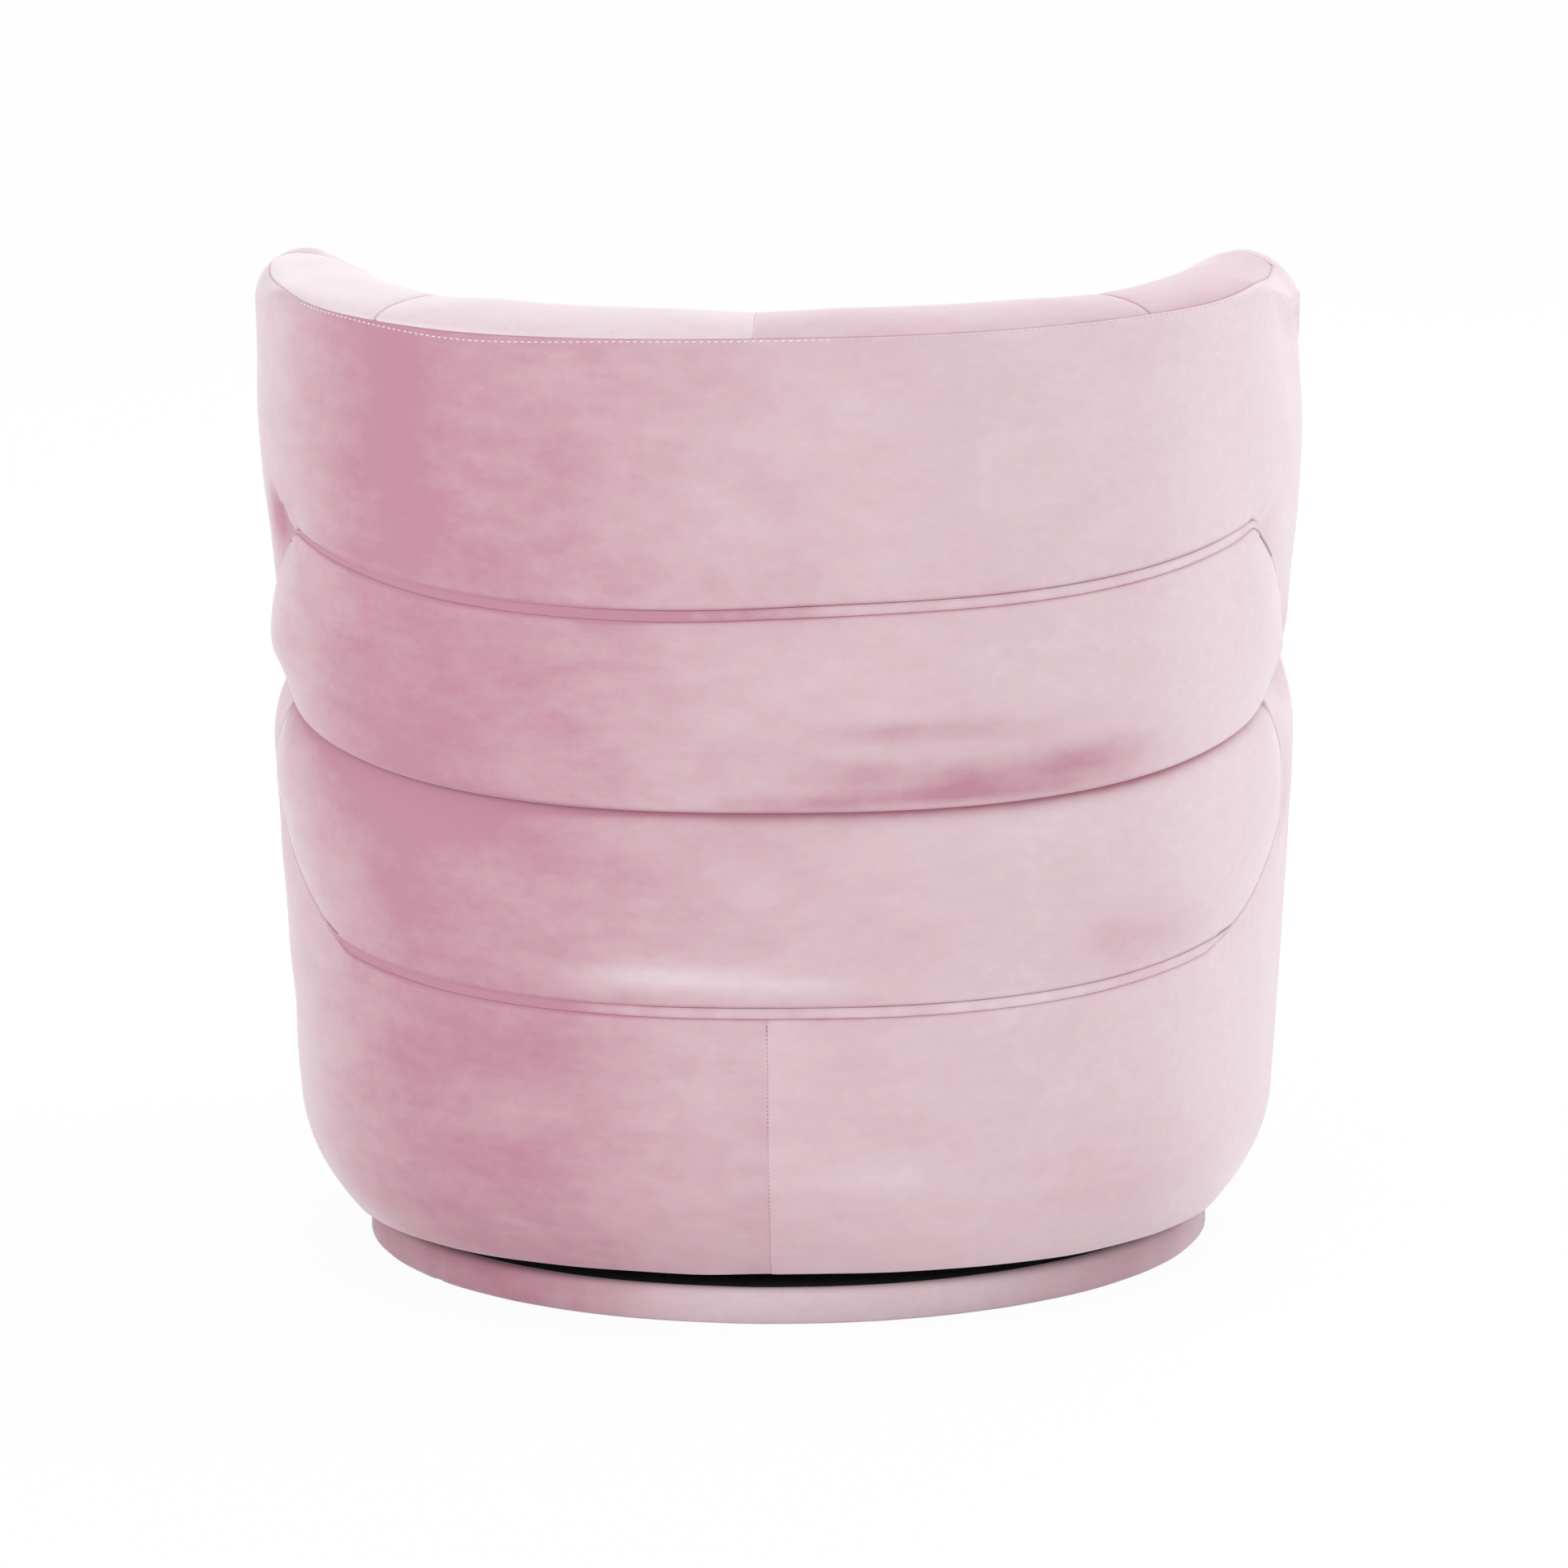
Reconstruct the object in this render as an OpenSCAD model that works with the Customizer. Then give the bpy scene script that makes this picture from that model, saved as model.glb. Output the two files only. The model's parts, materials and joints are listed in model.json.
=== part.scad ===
// Swivel glider nursery chair: a velvet barrel chair on a round plinth.
// +Z is up, the origin is on the floor under the swivel axis, the sitter
// faces -Y and sits with the left hand towards +X. Angles called phi are
// measured round the body from the centre of the back.

/* [Body] */
// Half width of the upholstered body at its widest
half_w = 399; // [380:1:420]
// Reach of the body behind the swivel axis
back_d = 401; // [385:1:425]
// Reach of the front panel in front of the swivel axis
front_d = 401; // [385:1:415]
// Squareness of the plan at the back, where 2 is an ellipse
back_sq = 2.3; // [2.1:0.05:2.6]
// Squareness of the plan at the front
front_sq = 3; // [2.6:0.1:3.3]
// Height of the body's lower edge above the floor
hem_z = 40; // [40:1:42]
// Distance of the lower edge inside the widest outline
hem_in = 61; // [54:1:66]
// Extra distance of the lower edge inside the outline at the back
hem_back_in = 13; // [4:1:18]
// Extra distance of the lower edge inside the outline at the front
hem_front_in = 22; // [10:1:28]
// Height over which the underside rounds in
under_h = 85; // [70:1:100]
// Lean of the wall at the top of the rounded underside
lean_in = 25; // [18:1:30]
// Lean of the wall where the lower and upper parts of the sides meet
waist_in = 7.5; // [5:0.5:10]
// Height at which the wall is widest
wide_z = 665; // [640:1:690]

/* [Rim and arms] */
// Height of the rim's crown
rim_z = 770; // [750:1:790]
// Height of the arms at their front end
arm_z = 600; // [580:1:630]
// Angle at which the rim starts to fall towards the arms
fall_deg = 82; // [80:1:88]
// Angle at which the arms end
arm_end_deg = 130; // [126:1:134]
// Angle at which the seam crosses the rim from outside to inside
tip_deg = 83; // [81:1:86]
// How far the seam of the rim lies over its outer edge, at the back
seam_over = 10; // [0:1:16]
// How far that seam lies over the outer edge, just before it crosses the rim
tip_over = 38; // [24:1:44]
// Angle of the seams between the inner back and its wings
wing_deg = 45; // [36:1:50]
// Distance of the crown inside the outer skin
crown_in = 50; // [46:1:56]
// Drop from the crown to the outer seam at the back
seam_drop = 14; // [10:1:20]
// Drop from the crown to the widest point at the sides
side_drop = 45; // [40:1:48]
// Thickness of the wall at the rim
rim_w = 105; // [100:1:115]
// Height over which the inner side of the rim rounds down
inner_drop = 50; // [44:1:60]
// Thickness of the back at the seat, in the middle
lumbar_w = 178; // [150:1:190]
// Length of the rounded nose of each arm
nose_l = 34; // [24:1:44]

/* [Outer bands] */
// Height of the seam under the collar, at the back centre
collar_z = 558; // [545:1:570]
// Rise of that seam towards its corner
collar_rise = 28; // [20:1:32]
// Angle of the upper band's corners
corner_deg = 61; // [59:1:65]
// Angle at which the upper band's ends reach their lowest point
band_end_deg = 86; // [84:1:90]
// Height of the upper band's lower edge, at the back centre
middle_z = 404; // [392:1:412]
// Height of the line where the sides' lower and upper parts meet
notch_z = 448; // [440:1:456]
// Height of the lower band's lower edge, at the back centre
skirt_z = 246; // [236:1:258]
// Rise of the lower band's lower edge towards its ends
skirt_rise = 34; // [26:1:40]
// Angle of the lower band's ends
leaf_deg = 77; // [75:1:80]
// Width of the stitched strips under the collar and the lower band
strip_w = 8; // [6:0.5:10]
// Thickness of the outer padding with its cover
pad_t = 20; // [16:0.5:21]
// Radius of a padded edge
pad_r = 12; // [8:1:16]
// Gap between two neighbouring covers
seam_gap = 1; // [0.6:0.1:1.6]

/* [Seat] */
// Height of the seat cushion's top
seat_z = 455; // [445:1:475]
// Thickness of the seat cushion
cushion_t = 130; // [120:1:140]
// Radius of the seat cushion's edge
cushion_r = 34; // [24:1:44]
// Gap between the cushion and what stands round it
cushion_gap = 2; // [1:0.5:4]

/* [Plinth] */
// Radius of the plinth
plinth_r = 323; // [315:1:330]
// Height of the plinth
plinth_h = 28; // [28:1:29]
// Thickness of the plinth's cover
plinth_cover_t = 3; // [2:0.5:3]
// Height of the floor glides
glide_h = 4.3; // [3.8:0.1:5]
// Number of floor glides
glide_n = 6; // [4:1:8]

/* [Swivel] */
// Radius of the lower swivel plate
swivel_r = 150; // [140:1:160]
// Thickness of the swivel plates
plate_t = 3; // [2.5:0.5:3]
// Diameter of the bearing balls
ball_d = 8; // [7.5:0.1:8]
// Number of bearing balls
ball_n = 24; // [18:1:30]
// Radius of the circle on which the balls run
ball_ring_r = 110; // [100:1:120]
// Diameter of the king pin at the swivel axis
king_d = 24; // [18:1:30]

/* [Glider] */
// Length of the links between their pivots
link_l = 120; // [110:1:126]
// Distance of the pivots before and behind the swivel axis
pivot_y = 95; // [85:1:100]
// Height of the upper pivots
pivot_z = 200; // [196:1:206]
// Distance of the brackets' plates from the middle
bracket_x = 150; // [140:1:155]
// Thickness of the links, brackets and rails
steel_t = 5; // [4:0.5:6]
// Width of the links
link_w = 30; // [26:1:34]
// Diameter of the pivot pins
pin_d = 10; // [8:0.5:12]
// Thickness of the wall of the pivot bushes
bush_t = 3; // [2:0.5:4]
// Running clearance between a pin and its bush, on the radius
pin_fit = 0.05; // [0.03:0.01:0.09]
// Height of the glider rails
rail_h = 36; // [32:1:40]

/* [Frame] */
// Thickness of the plywood
ply_t = 18; // [16:1:20]
// Width of the ribs, from outside to inside
rib_w = 40; // [34:1:42]
// Thickness of the board behind the outer bands
board_t = 3; // [2:0.5:4]
// Height of the seat rails
rail_board_h = 80; // [70:1:90]
// Thickness of the seat rails
rail_board_t = 24; // [20:1:28]
// Distance of the side seat rails inside the body's widest outline
box_side_in = 137; // [131:1:149]
// Distance of the front seat rail behind the front of the body
box_front_in = 157; // [155:1:171]
// Distance of the back seat rail before the back of the body
box_back_in = 196; // [189:1:206]
// Diameter of the spring wire
wire_d = 4; // [3:0.5:5]
// Number of springs
spring_n = 5; // [4:1:6]
// Thickness of the deck cloth and of the dust cover
cloth_t = 1.2; // [1:0.1:1.5]
// Clearance between pieces that are fastened to each other
fit = 0.3; // [0.2:0.05:0.4]

/* [Hidden] */
$fn = 48;
velvet = [0.84, 0.69, 0.74];
velvet_pale = [0.9, 0.8, 0.84];
steel = [0.45, 0.46, 0.48];
wood = [0.8, 0.66, 0.46];
black = [0.08, 0.08, 0.08];

// Heights of the plinth and the swivel, from the floor up
cover_low_z = glide_h - fit - plinth_cover_t;
board_top_z = plinth_h - plinth_cover_t;
lower_plate_z = board_top_z + plate_t;
race_h = 2;
ball_z = lower_plate_z + ball_d / 2;
upper_plate_z = lower_plate_z + ball_d;
turn_top_z = upper_plate_z + plate_t;
// Widths that follow the swivel plates
race_w = 16;
plinth_lip = 70;
glide_r = 16;
glide_in = 34;
plate_over = 25;
upper_plate_y = pivot_y + link_w / 2 + plate_over;
// Places of the glider's pieces across the chair
bush_d = pin_d + 2 * bush_t;
side_gap = 2;
link_x = bracket_x + side_gap;
rail_x = link_x + steel_t + side_gap;
low_pivot_z = pivot_z - link_l;
rail_low_z = low_pivot_z - rail_h / 2;
open_fit = 0.3;
pin_head = 3;
bolt_r = 4;
bolt_head = 4;
foot_w = 36;
beam_t = 28;
tab_w = 30;
// Travel of the seat along Y at the glide joint's limit
glide_deg = 24;
glide_y = link_l * sin(glide_deg);
beam_y = upper_plate_y + glide_y + side_gap;
rail_half = beam_y - fit;
// Heights of the frame, from the lower ring up
ring_low_z = hem_z + 4;
ring_top_z = ring_low_z + ply_t;
ring_in = pad_t + 1.5;
ring_w = 62;
hole_x = rail_x + steel_t + 14;
hole_y = upper_plate_y + glide_y + 8;
rib_in = pad_t + board_t + 2;
rim_pad_t = 36;
arm_rail_drop = rim_pad_t + 16;
top_rail_z = rim_z - arm_rail_drop - ply_t;
box_x = half_w - box_side_in;
box_front_y = front_d - box_front_in;
box_back_y = back_d - box_back_in;
deck_z = seat_z - cushion_t - cloth_t - fit;
clip_t = 1.5;
rails_top_z = deck_z - wire_d - clip_t - fit;
rails_low_z = rails_top_z - rail_board_h;
hoop_z = rails_low_z - ply_t - fit;
rib_degs = [-165, -143, -121, -100, -68, -40, -12, 12, 40, 68, 100, 121, 143, 165];
pad_back_in = rib_in + rib_w + 5;
pad_low_z = deck_z + cloth_t + fit;
front_top_z = deck_z + cloth_t;
waist_z = 430;
under_z = hem_z + under_h;

// ---- Outline of the body ----

function clamp(x) = min(max(x, 0), 1);
function smooth(x) = let (k = clamp(x)) k * k * (3 - 2 * k);
function mix(a, b, k) = a + (b - a) * k;

// Distance of the wall inside the widest outline, at height z
function lean(z) =
    z < waist_z
        ? waist_in + (lean_in - waist_in) * pow(min(1, (waist_z - z) / (waist_z - under_z)), 1.25)
        : waist_in * pow(max(0, wide_z - z) / (wide_z - waist_z), 1.4);
function under(z) = (hem_in - lean_in) * pow(max(0, under_z - z) / under_h, 2.6);
function inset(z) = lean(z) + under(z);
function back_inset(z) = hem_back_in * clamp((wide_z - z) / (wide_z - hem_z));
function front_inset(z) = hem_front_in * pow(clamp((waist_z - z) / (waist_z - hem_z)), 2);

// The front panel is widest just under its padded top edge
front_wide_z = front_top_z - pad_r;
front_plan_d = front_d + inset(front_wide_z) + front_inset(front_wide_z);

// Squareness of the plan at angle phi and height z
function square_at(phi, z) =
    let (front = mix(back_sq, front_sq, clamp((z - hem_z) / (2 * under_h))))
    mix(back_sq, front, smooth((abs(phi) - 80) / 35));

// Radius of the skin at angle phi and height z, t inside the outermost skin
function radius_at(phi, z, t) =
    let (
        n = square_at(phi, z),
        across = half_w - inset(z) - t,
        along = (abs(phi) > 90 ? front_plan_d - front_inset(z) : back_d - back_inset(z)) - inset(z) - t
    )
    pow(pow(abs(sin(phi)) / across, n) + pow(abs(cos(phi)) / along, n), -1 / n);
function place(phi, z, t) =
    let (r = radius_at(phi, z, t))
    [r * sin(phi), r * cos(phi), z];

// Height of the crown at angle phi
function crown_z(phi) =
    let (x = clamp((abs(phi) - fall_deg) / (arm_end_deg - fall_deg)))
    rim_z - (rim_z - arm_z) * (2.4 * x * x - 1.4 * x * x * x);
function wall_drop(phi) = mix(seam_drop, side_drop, smooth((abs(phi) - 62) / 16));
function wall_top_z(phi) = crown_z(phi) - wall_drop(phi);

// Thickness of the wall at angle phi and height z, down to the inner face
function wall_w(phi, z) =
    let (
        low = mix(rim_w, lumbar_w, pow(max(0, cos(min(abs(phi) * 1.15, 90))), 1.2)),
        k = clamp((rim_z - inner_drop - z) / (rim_z - inner_drop - seat_z))
    )
    mix(rim_w, low, smooth(k));

// Half angle over which the seam crosses the rim
tip_turn = 5;
// Angle at which the top rail hands over to the arm rails
rail_end_deg = leaf_deg - 3;

// Section of the wall: s runs up the outside (s < 0), over the rim and down inside
rim_l = 150;
function skin(phi, s) =
    let (top = wall_top_z(phi), crown = crown_z(phi), a = 180 * s / rim_l)
    s <= 0 ? [0, top + s]
    : s <= rim_l / 2
        ? [crown_in * (1 - cos(a)), crown - wall_drop(phi) * (1 - sin(a))]
    : s <= rim_l
        ? [mix(crown_in, rim_w, -cos(a)), crown - inner_drop * (1 - sin(a))]
    : let (z = crown - inner_drop - (s - rim_l)) [wall_w(phi, z), z];
function lining(phi, s) =
    let (top = wall_top_z(phi), crown = crown_z(phi), a = 180 * s / rim_l)
    s <= 0 ? [pad_t, top + s]
    : s <= rim_l / 2
        ? let (fall = wall_drop(phi) - rim_pad_t)
            fall > 0 ? [mix(pad_t, crown_in, 1 - cos(a)), top + fall * sin(a)]
                : [mix(pad_t, crown_in, sin(a)), top + fall * pow(sin(a), 4)]
    : s <= rim_l
        ? [mix(crown_in, pad_back_in, -cos(a)), mix(crown - inner_drop, crown - rim_pad_t, sin(a))]
    : [pad_back_in, crown - inner_drop - (s - rim_l)];
// Where the outer cover ends on the section, from 0 at the outer seam to rim_l inside
function seam_s(phi) =
    let (k = clamp((abs(phi) - 50) / 24), over = mix(seam_over, tip_over, k * k * (3 - 2 * k)))
    mix(over, rim_l, clamp((abs(phi) - tip_deg + tip_turn) / (2 * tip_turn)));

// ---- Edges of the outer bands ----

function collar_edge(phi) =
    let (p = abs(phi))
    p < corner_deg
        ? collar_z + collar_rise * pow(p / corner_deg, 2.8)
        : mix(collar_z + collar_rise, notch_z, clamp((p - corner_deg) / (band_end_deg - corner_deg)));
function band_edge(phi) =
    mix(middle_z, notch_z, pow(clamp(abs(phi) / (leaf_deg - 5)), 2.8));
function skirt_edge(phi) =
    let (p = abs(phi), k = clamp((p - 54) / (leaf_deg - 54)))
    skirt_z + skirt_rise * pow(min(p, leaf_deg) / 67, 3) + 50 * pow(k, 1.2);

// How far a padded edge of radius pad_r rounds in, at distance d from the edge
function tuck(d) =
    let (k = 1 - clamp(d / pad_r))
    pad_r * 0.8 * (1 - sqrt(1 - k * k));

// ---- Building blocks ----

// Spacing that crowds the rows towards both edges
function crowd(k) = (1 - cos(180 * k)) / 2;

// Columns from the first knot to the last, with counts[k] steps after knot k
function columns(knots, counts) = concat(
    [knots[0]],
    [for (k = [0:len(counts) - 1]) for (i = [1:counts[k]]) mix(knots[k], knots[k + 1], i / counts[k])]
);
function even(p0, p1, count) = columns([p0, p1], [count]);
// The same columns on the other side of the chair
function mirrored(cols) = [for (i = [len(cols) - 1:-1:0]) -cols[i]];
function on_side(s, cols) = s > 0 ? cols : mirrored(cols);

// A closed skin between two grids of points, outer(c, v) and inner(c, v), where c runs
// through cols and v from 0 to 1
module skin_between(outer, inner, cols, nv) {
    nu = len(cols) - 1;
    rows = nv + 1;
    count = (nu + 1) * rows;
    points = concat(
        [for (c = cols) for (j = [0:nv]) outer(c, crowd(j / nv))],
        [for (c = cols) for (j = [0:nv]) inner(c, crowd(j / nv))]
    );
    at = function (i, j) i * rows + j;
    quad = function (a, b, c, d) [[a, b, c], [a, c, d]];
    faces = concat(
        [for (i = [0:nu - 1]) for (j = [0:nv - 1]) each
            quad(at(i, j), at(i + 1, j), at(i + 1, j + 1), at(i, j + 1))],
        [for (i = [0:nu - 1]) for (j = [0:nv - 1]) each
            quad(count + at(i, j), count + at(i, j + 1), count + at(i + 1, j + 1), count + at(i + 1, j))],
        [for (i = [0:nu - 1]) each
            quad(at(i, 0), count + at(i, 0), count + at(i + 1, 0), at(i + 1, 0))],
        [for (i = [0:nu - 1]) each
            quad(at(i, nv), at(i + 1, nv), count + at(i + 1, nv), count + at(i, nv))],
        [for (j = [0:nv - 1]) each
            quad(at(0, j), at(0, j + 1), count + at(0, j + 1), count + at(0, j))],
        [for (j = [0:nv - 1]) each
            quad(at(nu, j), count + at(nu, j), count + at(nu, j + 1), at(nu, j + 1))]
    );
    polyhedron(points = points, faces = faces, convexity = 8);
}

// A padded panel on the outside, between the heights low(phi) and top(phi).
// round_low and round_top say how much of the padded edge's rounding each edge takes.
module outer_panel(cols, low, top, nv, round_low = 1, round_top = 1) {
    outer = function (phi, v)
        let (z0 = low(phi), z1 = top(phi), z = mix(z0, z1, v))
        place(phi, z, round_low * tuck(z - z0) + round_top * tuck(z1 - z));
    inner = function (phi, v)
        place(phi, mix(low(phi), top(phi), v), pad_t);
    skin_between(outer, inner, cols, nv);
}

// A panel that follows the wall's section from s0(phi) to s1(phi)
module section_panel(cols, s0, s1, nv) {
    outer = function (phi, v)
        let (q = skin(phi, mix(s0(phi), s1(phi), v)))
        place(phi, q[1], q[0]);
    inner = function (phi, v)
        let (q = lining(phi, mix(s0(phi), s1(phi), v)))
        place(phi, q[1], q[0]);
    skin_between(outer, inner, cols, nv);
}

// The body's outline at height z, t inside the skin, as a flat shape
module outline(z, t) {
    polygon([for (phi = [-180:5:175]) let (p = place(phi, z, t)) [p[0], p[1]]]);
}

// A flat ring sector that follows the outline, from angle p0 to p1
module hoop_sector(z, t0, t1, p0, p1, steps) {
    polygon(concat(
        [for (i = [0:steps]) let (p = place(mix(p0, p1, i / steps), z, t0)) [p[0], p[1]]],
        [for (i = [steps:-1:0]) let (p = place(mix(p0, p1, i / steps), z, t1)) [p[0], p[1]]]
    ));
}

module round_plate(x, y, r, h) {
    linear_extrude(h)
        difference() {
            square([x, y], center = true);
            for (i = [-1, 1], j = [-1, 1])
                translate([i * (x / 2 - r), j * (y / 2 - r)])
                    difference() {
                        translate([i > 0 ? 0 : -r, j > 0 ? 0 : -r])
                            square(r);
                        circle(r);
                    }
        }
}

module cylinder_x(r, x0, x1, y, z) {
    translate([x0, y, z])
        rotate([0, 90, 0])
            cylinder(r = r, h = x1 - x0);
}

module bolt_down(x, y, z, grip) {
    translate([x, y, z - grip])
        cylinder(r = bolt_r, h = grip);
    translate([x, y, z])
        cylinder(r = bolt_r * 1.8, h = bolt_head, $fn = 6);
}

// ---- Plinth ----

module plinth_cover() {
    low = cover_low_z;
    color(velvet)
        rotate_extrude($fn = 120)
            difference() {
                union() {
                    translate([plinth_r - plinth_lip, low])
                        square([plinth_lip - plinth_cover_t, plinth_h - low]);
                    translate([plinth_r - 2 * plinth_cover_t, low])
                        square([2 * plinth_cover_t, plinth_h - low - plinth_cover_t]);
                    translate([plinth_r - plinth_cover_t, plinth_h - plinth_cover_t])
                        circle(plinth_cover_t);
                }
                translate([plinth_r - plinth_lip - 1, low + plinth_cover_t])
                    square([plinth_lip - plinth_cover_t + 1, board_top_z - low - plinth_cover_t]);
            }
}

module base_board() {
    color(wood)
        translate([0, 0, glide_h])
            cylinder(r = plinth_r - plinth_cover_t - fit, h = board_top_z - fit - glide_h, $fn = 120);
}

module floor_glides() {
    color(black)
        for (i = [0:glide_n - 1])
            rotate([0, 0, (i + 0.5) * 360 / glide_n])
                translate([plinth_r - plinth_lip - glide_in, 0, 0])
                    cylinder(r = glide_r, h = glide_h);
}

// ---- Swivel ----

// A flat race with a groove for the balls, its open side up
module race() {
    rotate_extrude()
        difference() {
            translate([ball_ring_r - race_w / 2, 0])
                square([race_w, race_h]);
            translate([ball_ring_r, ball_d / 2])
                circle(ball_d / 2 + pin_fit);
        }
}

module swivel_lower_plate() {
    color(steel)
        difference() {
            union() {
                translate([0, 0, board_top_z])
                    cylinder(r = swivel_r, h = plate_t, $fn = 96);
                translate([0, 0, lower_plate_z])
                    race();
            }
            translate([0, 0, board_top_z - 1])
                cylinder(d = king_d + 2 * pin_fit, h = plate_t + 2);
            for (i = [0:3])
                rotate([0, 0, 45 + 90 * i])
                    translate([swivel_r - 14, 0, board_top_z - 1])
                        cylinder(r = bolt_r + fit, h = plate_t + 2);
        }
}

module swivel_bolts() {
    color(steel)
        for (i = [0:3])
            rotate([0, 0, 45 + 90 * i])
                translate([swivel_r - 14, 0, board_top_z]) {
                    cylinder(r = bolt_r, h = plate_t + 1);
                    translate([0, 0, plate_t])
                        cylinder(r = bolt_r * 1.8, h = bolt_head - 1, $fn = 6);
                }
}

module king_pin() {
    color(steel)
        translate([0, 0, board_top_z]) {
            cylinder(d = king_d, h = turn_top_z + 2 - board_top_z);
            translate([0, 0, turn_top_z + pin_fit - board_top_z])
                cylinder(d = 1.6 * king_d, h = 2);
        }
}

module bearing_balls() {
    color(steel)
        for (i = [0:ball_n - 1])
            rotate([0, 0, 360 * i / ball_n])
                translate([ball_ring_r, 0, ball_z])
                    sphere(d = ball_d - 2 * pin_fit, $fn = 24);
}

module bearing_cage() {
    half = ball_d / 2 - race_h - fit;
    color("goldenrod")
        difference() {
            translate([0, 0, ball_z - half])
                rotate_extrude()
                    translate([ball_ring_r - race_w / 2, 0])
                        square([race_w, 2 * half]);
            for (i = [0:ball_n - 1])
                rotate([0, 0, 360 * i / ball_n])
                    translate([ball_ring_r, 0, ball_z - ball_d])
                        cylinder(d = ball_d + fit, h = 2 * ball_d, $fn = 24);
        }
}

// Places of the bolts that hold the brackets' feet, on the side s
module at_bracket_bolts(s) {
    for (j = [-1, 1])
        translate([s * (bracket_x - steel_t - foot_w / 2), j * (upper_plate_y - 16), 0])
            children();
}

module swivel_upper_plate() {
    color(steel)
        difference() {
            union() {
                translate([0, 0, upper_plate_z])
                    round_plate(2 * bracket_x, 2 * upper_plate_y, 20, plate_t);
                translate([0, 0, upper_plate_z])
                    mirror([0, 0, 1])
                        race();
            }
            translate([0, 0, upper_plate_z - 1])
                cylinder(d = king_d + 2 * pin_fit, h = plate_t + 2);
            for (s = [-1, 1])
                at_bracket_bolts(s)
                    translate([0, 0, upper_plate_z - 1])
                        cylinder(r = bolt_r + fit, h = plate_t + 2);
        }
}

// ---- Glider: brackets on the turntable ----

// The bracket's upright plate seen from the side: a wide foot, two uprights with
// round ears at the pivots, and two windows between them
module bracket_side() {
    ear = link_w / 2;
    top = pivot_z - turn_top_z;
    web = 20;
    foot_h = 40;
    difference() {
        union() {
            translate([-upper_plate_y + 6, 0])
                square([2 * upper_plate_y - 12, foot_h / 2]);
            for (j = [-1, 1])
                translate([j * pivot_y, top])
                    circle(ear);
            translate([-pivot_y - ear, 0])
                square([2 * (pivot_y + ear), top]);
            translate([-pivot_y, top])
                square([2 * pivot_y, ear]);
        }
        for (j = [-1, 1])
            translate([j > 0 ? web / 2 : ear - pivot_y, foot_h])
                square([pivot_y - ear - web / 2, top - ear - foot_h]);
    }
}

// s is 1 on the sitter's left and -1 on the right
module glider_bracket(s) {
    color(steel)
        difference() {
            union() {
                translate([s > 0 ? bracket_x - steel_t : -bracket_x, 0, turn_top_z])
                    rotate([90, 0, 90])
                        linear_extrude(steel_t)
                            bracket_side();
                translate([s > 0 ? bracket_x - steel_t - foot_w : -bracket_x + steel_t - 0.01, -upper_plate_y + 6, turn_top_z])
                    cube([foot_w + 0.01, 2 * upper_plate_y - 12, steel_t]);
            }
            for (j = [-1, 1])
                cylinder_x(pin_d / 2 + 0.02, -bracket_x - 1, bracket_x + 1, j * pivot_y, pivot_z);
            at_bracket_bolts(s)
                translate([0, 0, turn_top_z - 1])
                    cylinder(r = bolt_r + fit, h = steel_t + 2);
        }
}
module glider_bracket_left() { glider_bracket(1); }
module glider_bracket_right() { glider_bracket(-1); }

module bracket_bolts() {
    color(steel)
        for (s = [-1, 1])
            at_bracket_bolts(s)
                bolt_down(0, 0, turn_top_z + steel_t, steel_t + plate_t);
}

module cross_tubes() {
    half = bracket_x - steel_t - fit;
    color(steel)
        for (j = [-1, 1])
            difference() {
                cylinder_x(pin_d, -half, half, j * pivot_y, pivot_z - link_w);
                cylinder_x(pin_d - 2, -half - 1, half + 1, j * pivot_y, pivot_z - link_w);
            }
}

// ---- Glider: links ----

// A link with round ends and a bushed eye at each, on the side s, at j along Y
module link(s, j) {
    x = s > 0 ? link_x : -link_x - steel_t;
    color(steel)
        difference() {
            translate([x, j * pivot_y, low_pivot_z])
                rotate([90, 0, 90])
                    linear_extrude(steel_t)
                        union() {
                            circle(link_w / 2);
                            translate([0, link_l])
                                circle(link_w / 2);
                            translate([-link_w / 2, 0])
                                square([link_w, link_l]);
                        }
            for (z = [low_pivot_z, pivot_z])
                cylinder_x(bush_d / 2, x - 1, x + steel_t + 1, j * pivot_y, z);
        }
}

// The bushes of the links at j along Y; the clearance round the lower pins is low_fit
module link_bushes(j, low_fit) {
    color("ivory")
        for (s = [-1, 1], z = [low_pivot_z, pivot_z]) {
            x = s > 0 ? link_x : -link_x - steel_t;
            clear = z == pivot_z ? pin_fit : low_fit;
            difference() {
                cylinder_x(bush_d / 2 - 0.02, x, x + steel_t, j * pivot_y, z);
                cylinder_x(pin_d / 2 + clear, x - 1, x + steel_t + 1, j * pivot_y, z);
            }
        }
}
module rear_link_left() { link(1, 1); }
module rear_link_right() { link(-1, 1); }
module rear_link_bushes() { link_bushes(1, pin_fit); }
module front_link_left() { link(1, -1); }
module front_link_right() { link(-1, -1); }
module front_link_bushes() { link_bushes(-1, open_fit); }

// A pivot pin from xa, where its head is, to xb
module pivot_pin(xa, xb, y, z) {
    head = xa < xb ? -1 : 1;
    cylinder_x(pin_d / 2, min(xa, xb), max(xa, xb), y, z);
    cylinder_x(pin_d * 0.8, xa + (head < 0 ? -pin_head : 0), xa + (head < 0 ? 0 : pin_head), y, z);
}

module upper_pivot_pins() {
    color(steel)
        for (s = [-1, 1], j = [-1, 1]) {
            pivot_pin(s * (bracket_x - steel_t), s * (link_x + steel_t + side_gap / 2), j * pivot_y, pivot_z);
            cylinder_x(pin_d * 0.8,
                s > 0 ? link_x + steel_t + fit : -link_x - steel_t - fit - side_gap,
                s > 0 ? link_x + steel_t + fit + side_gap : -link_x - steel_t - fit,
                j * pivot_y, pivot_z);
        }
}

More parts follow.
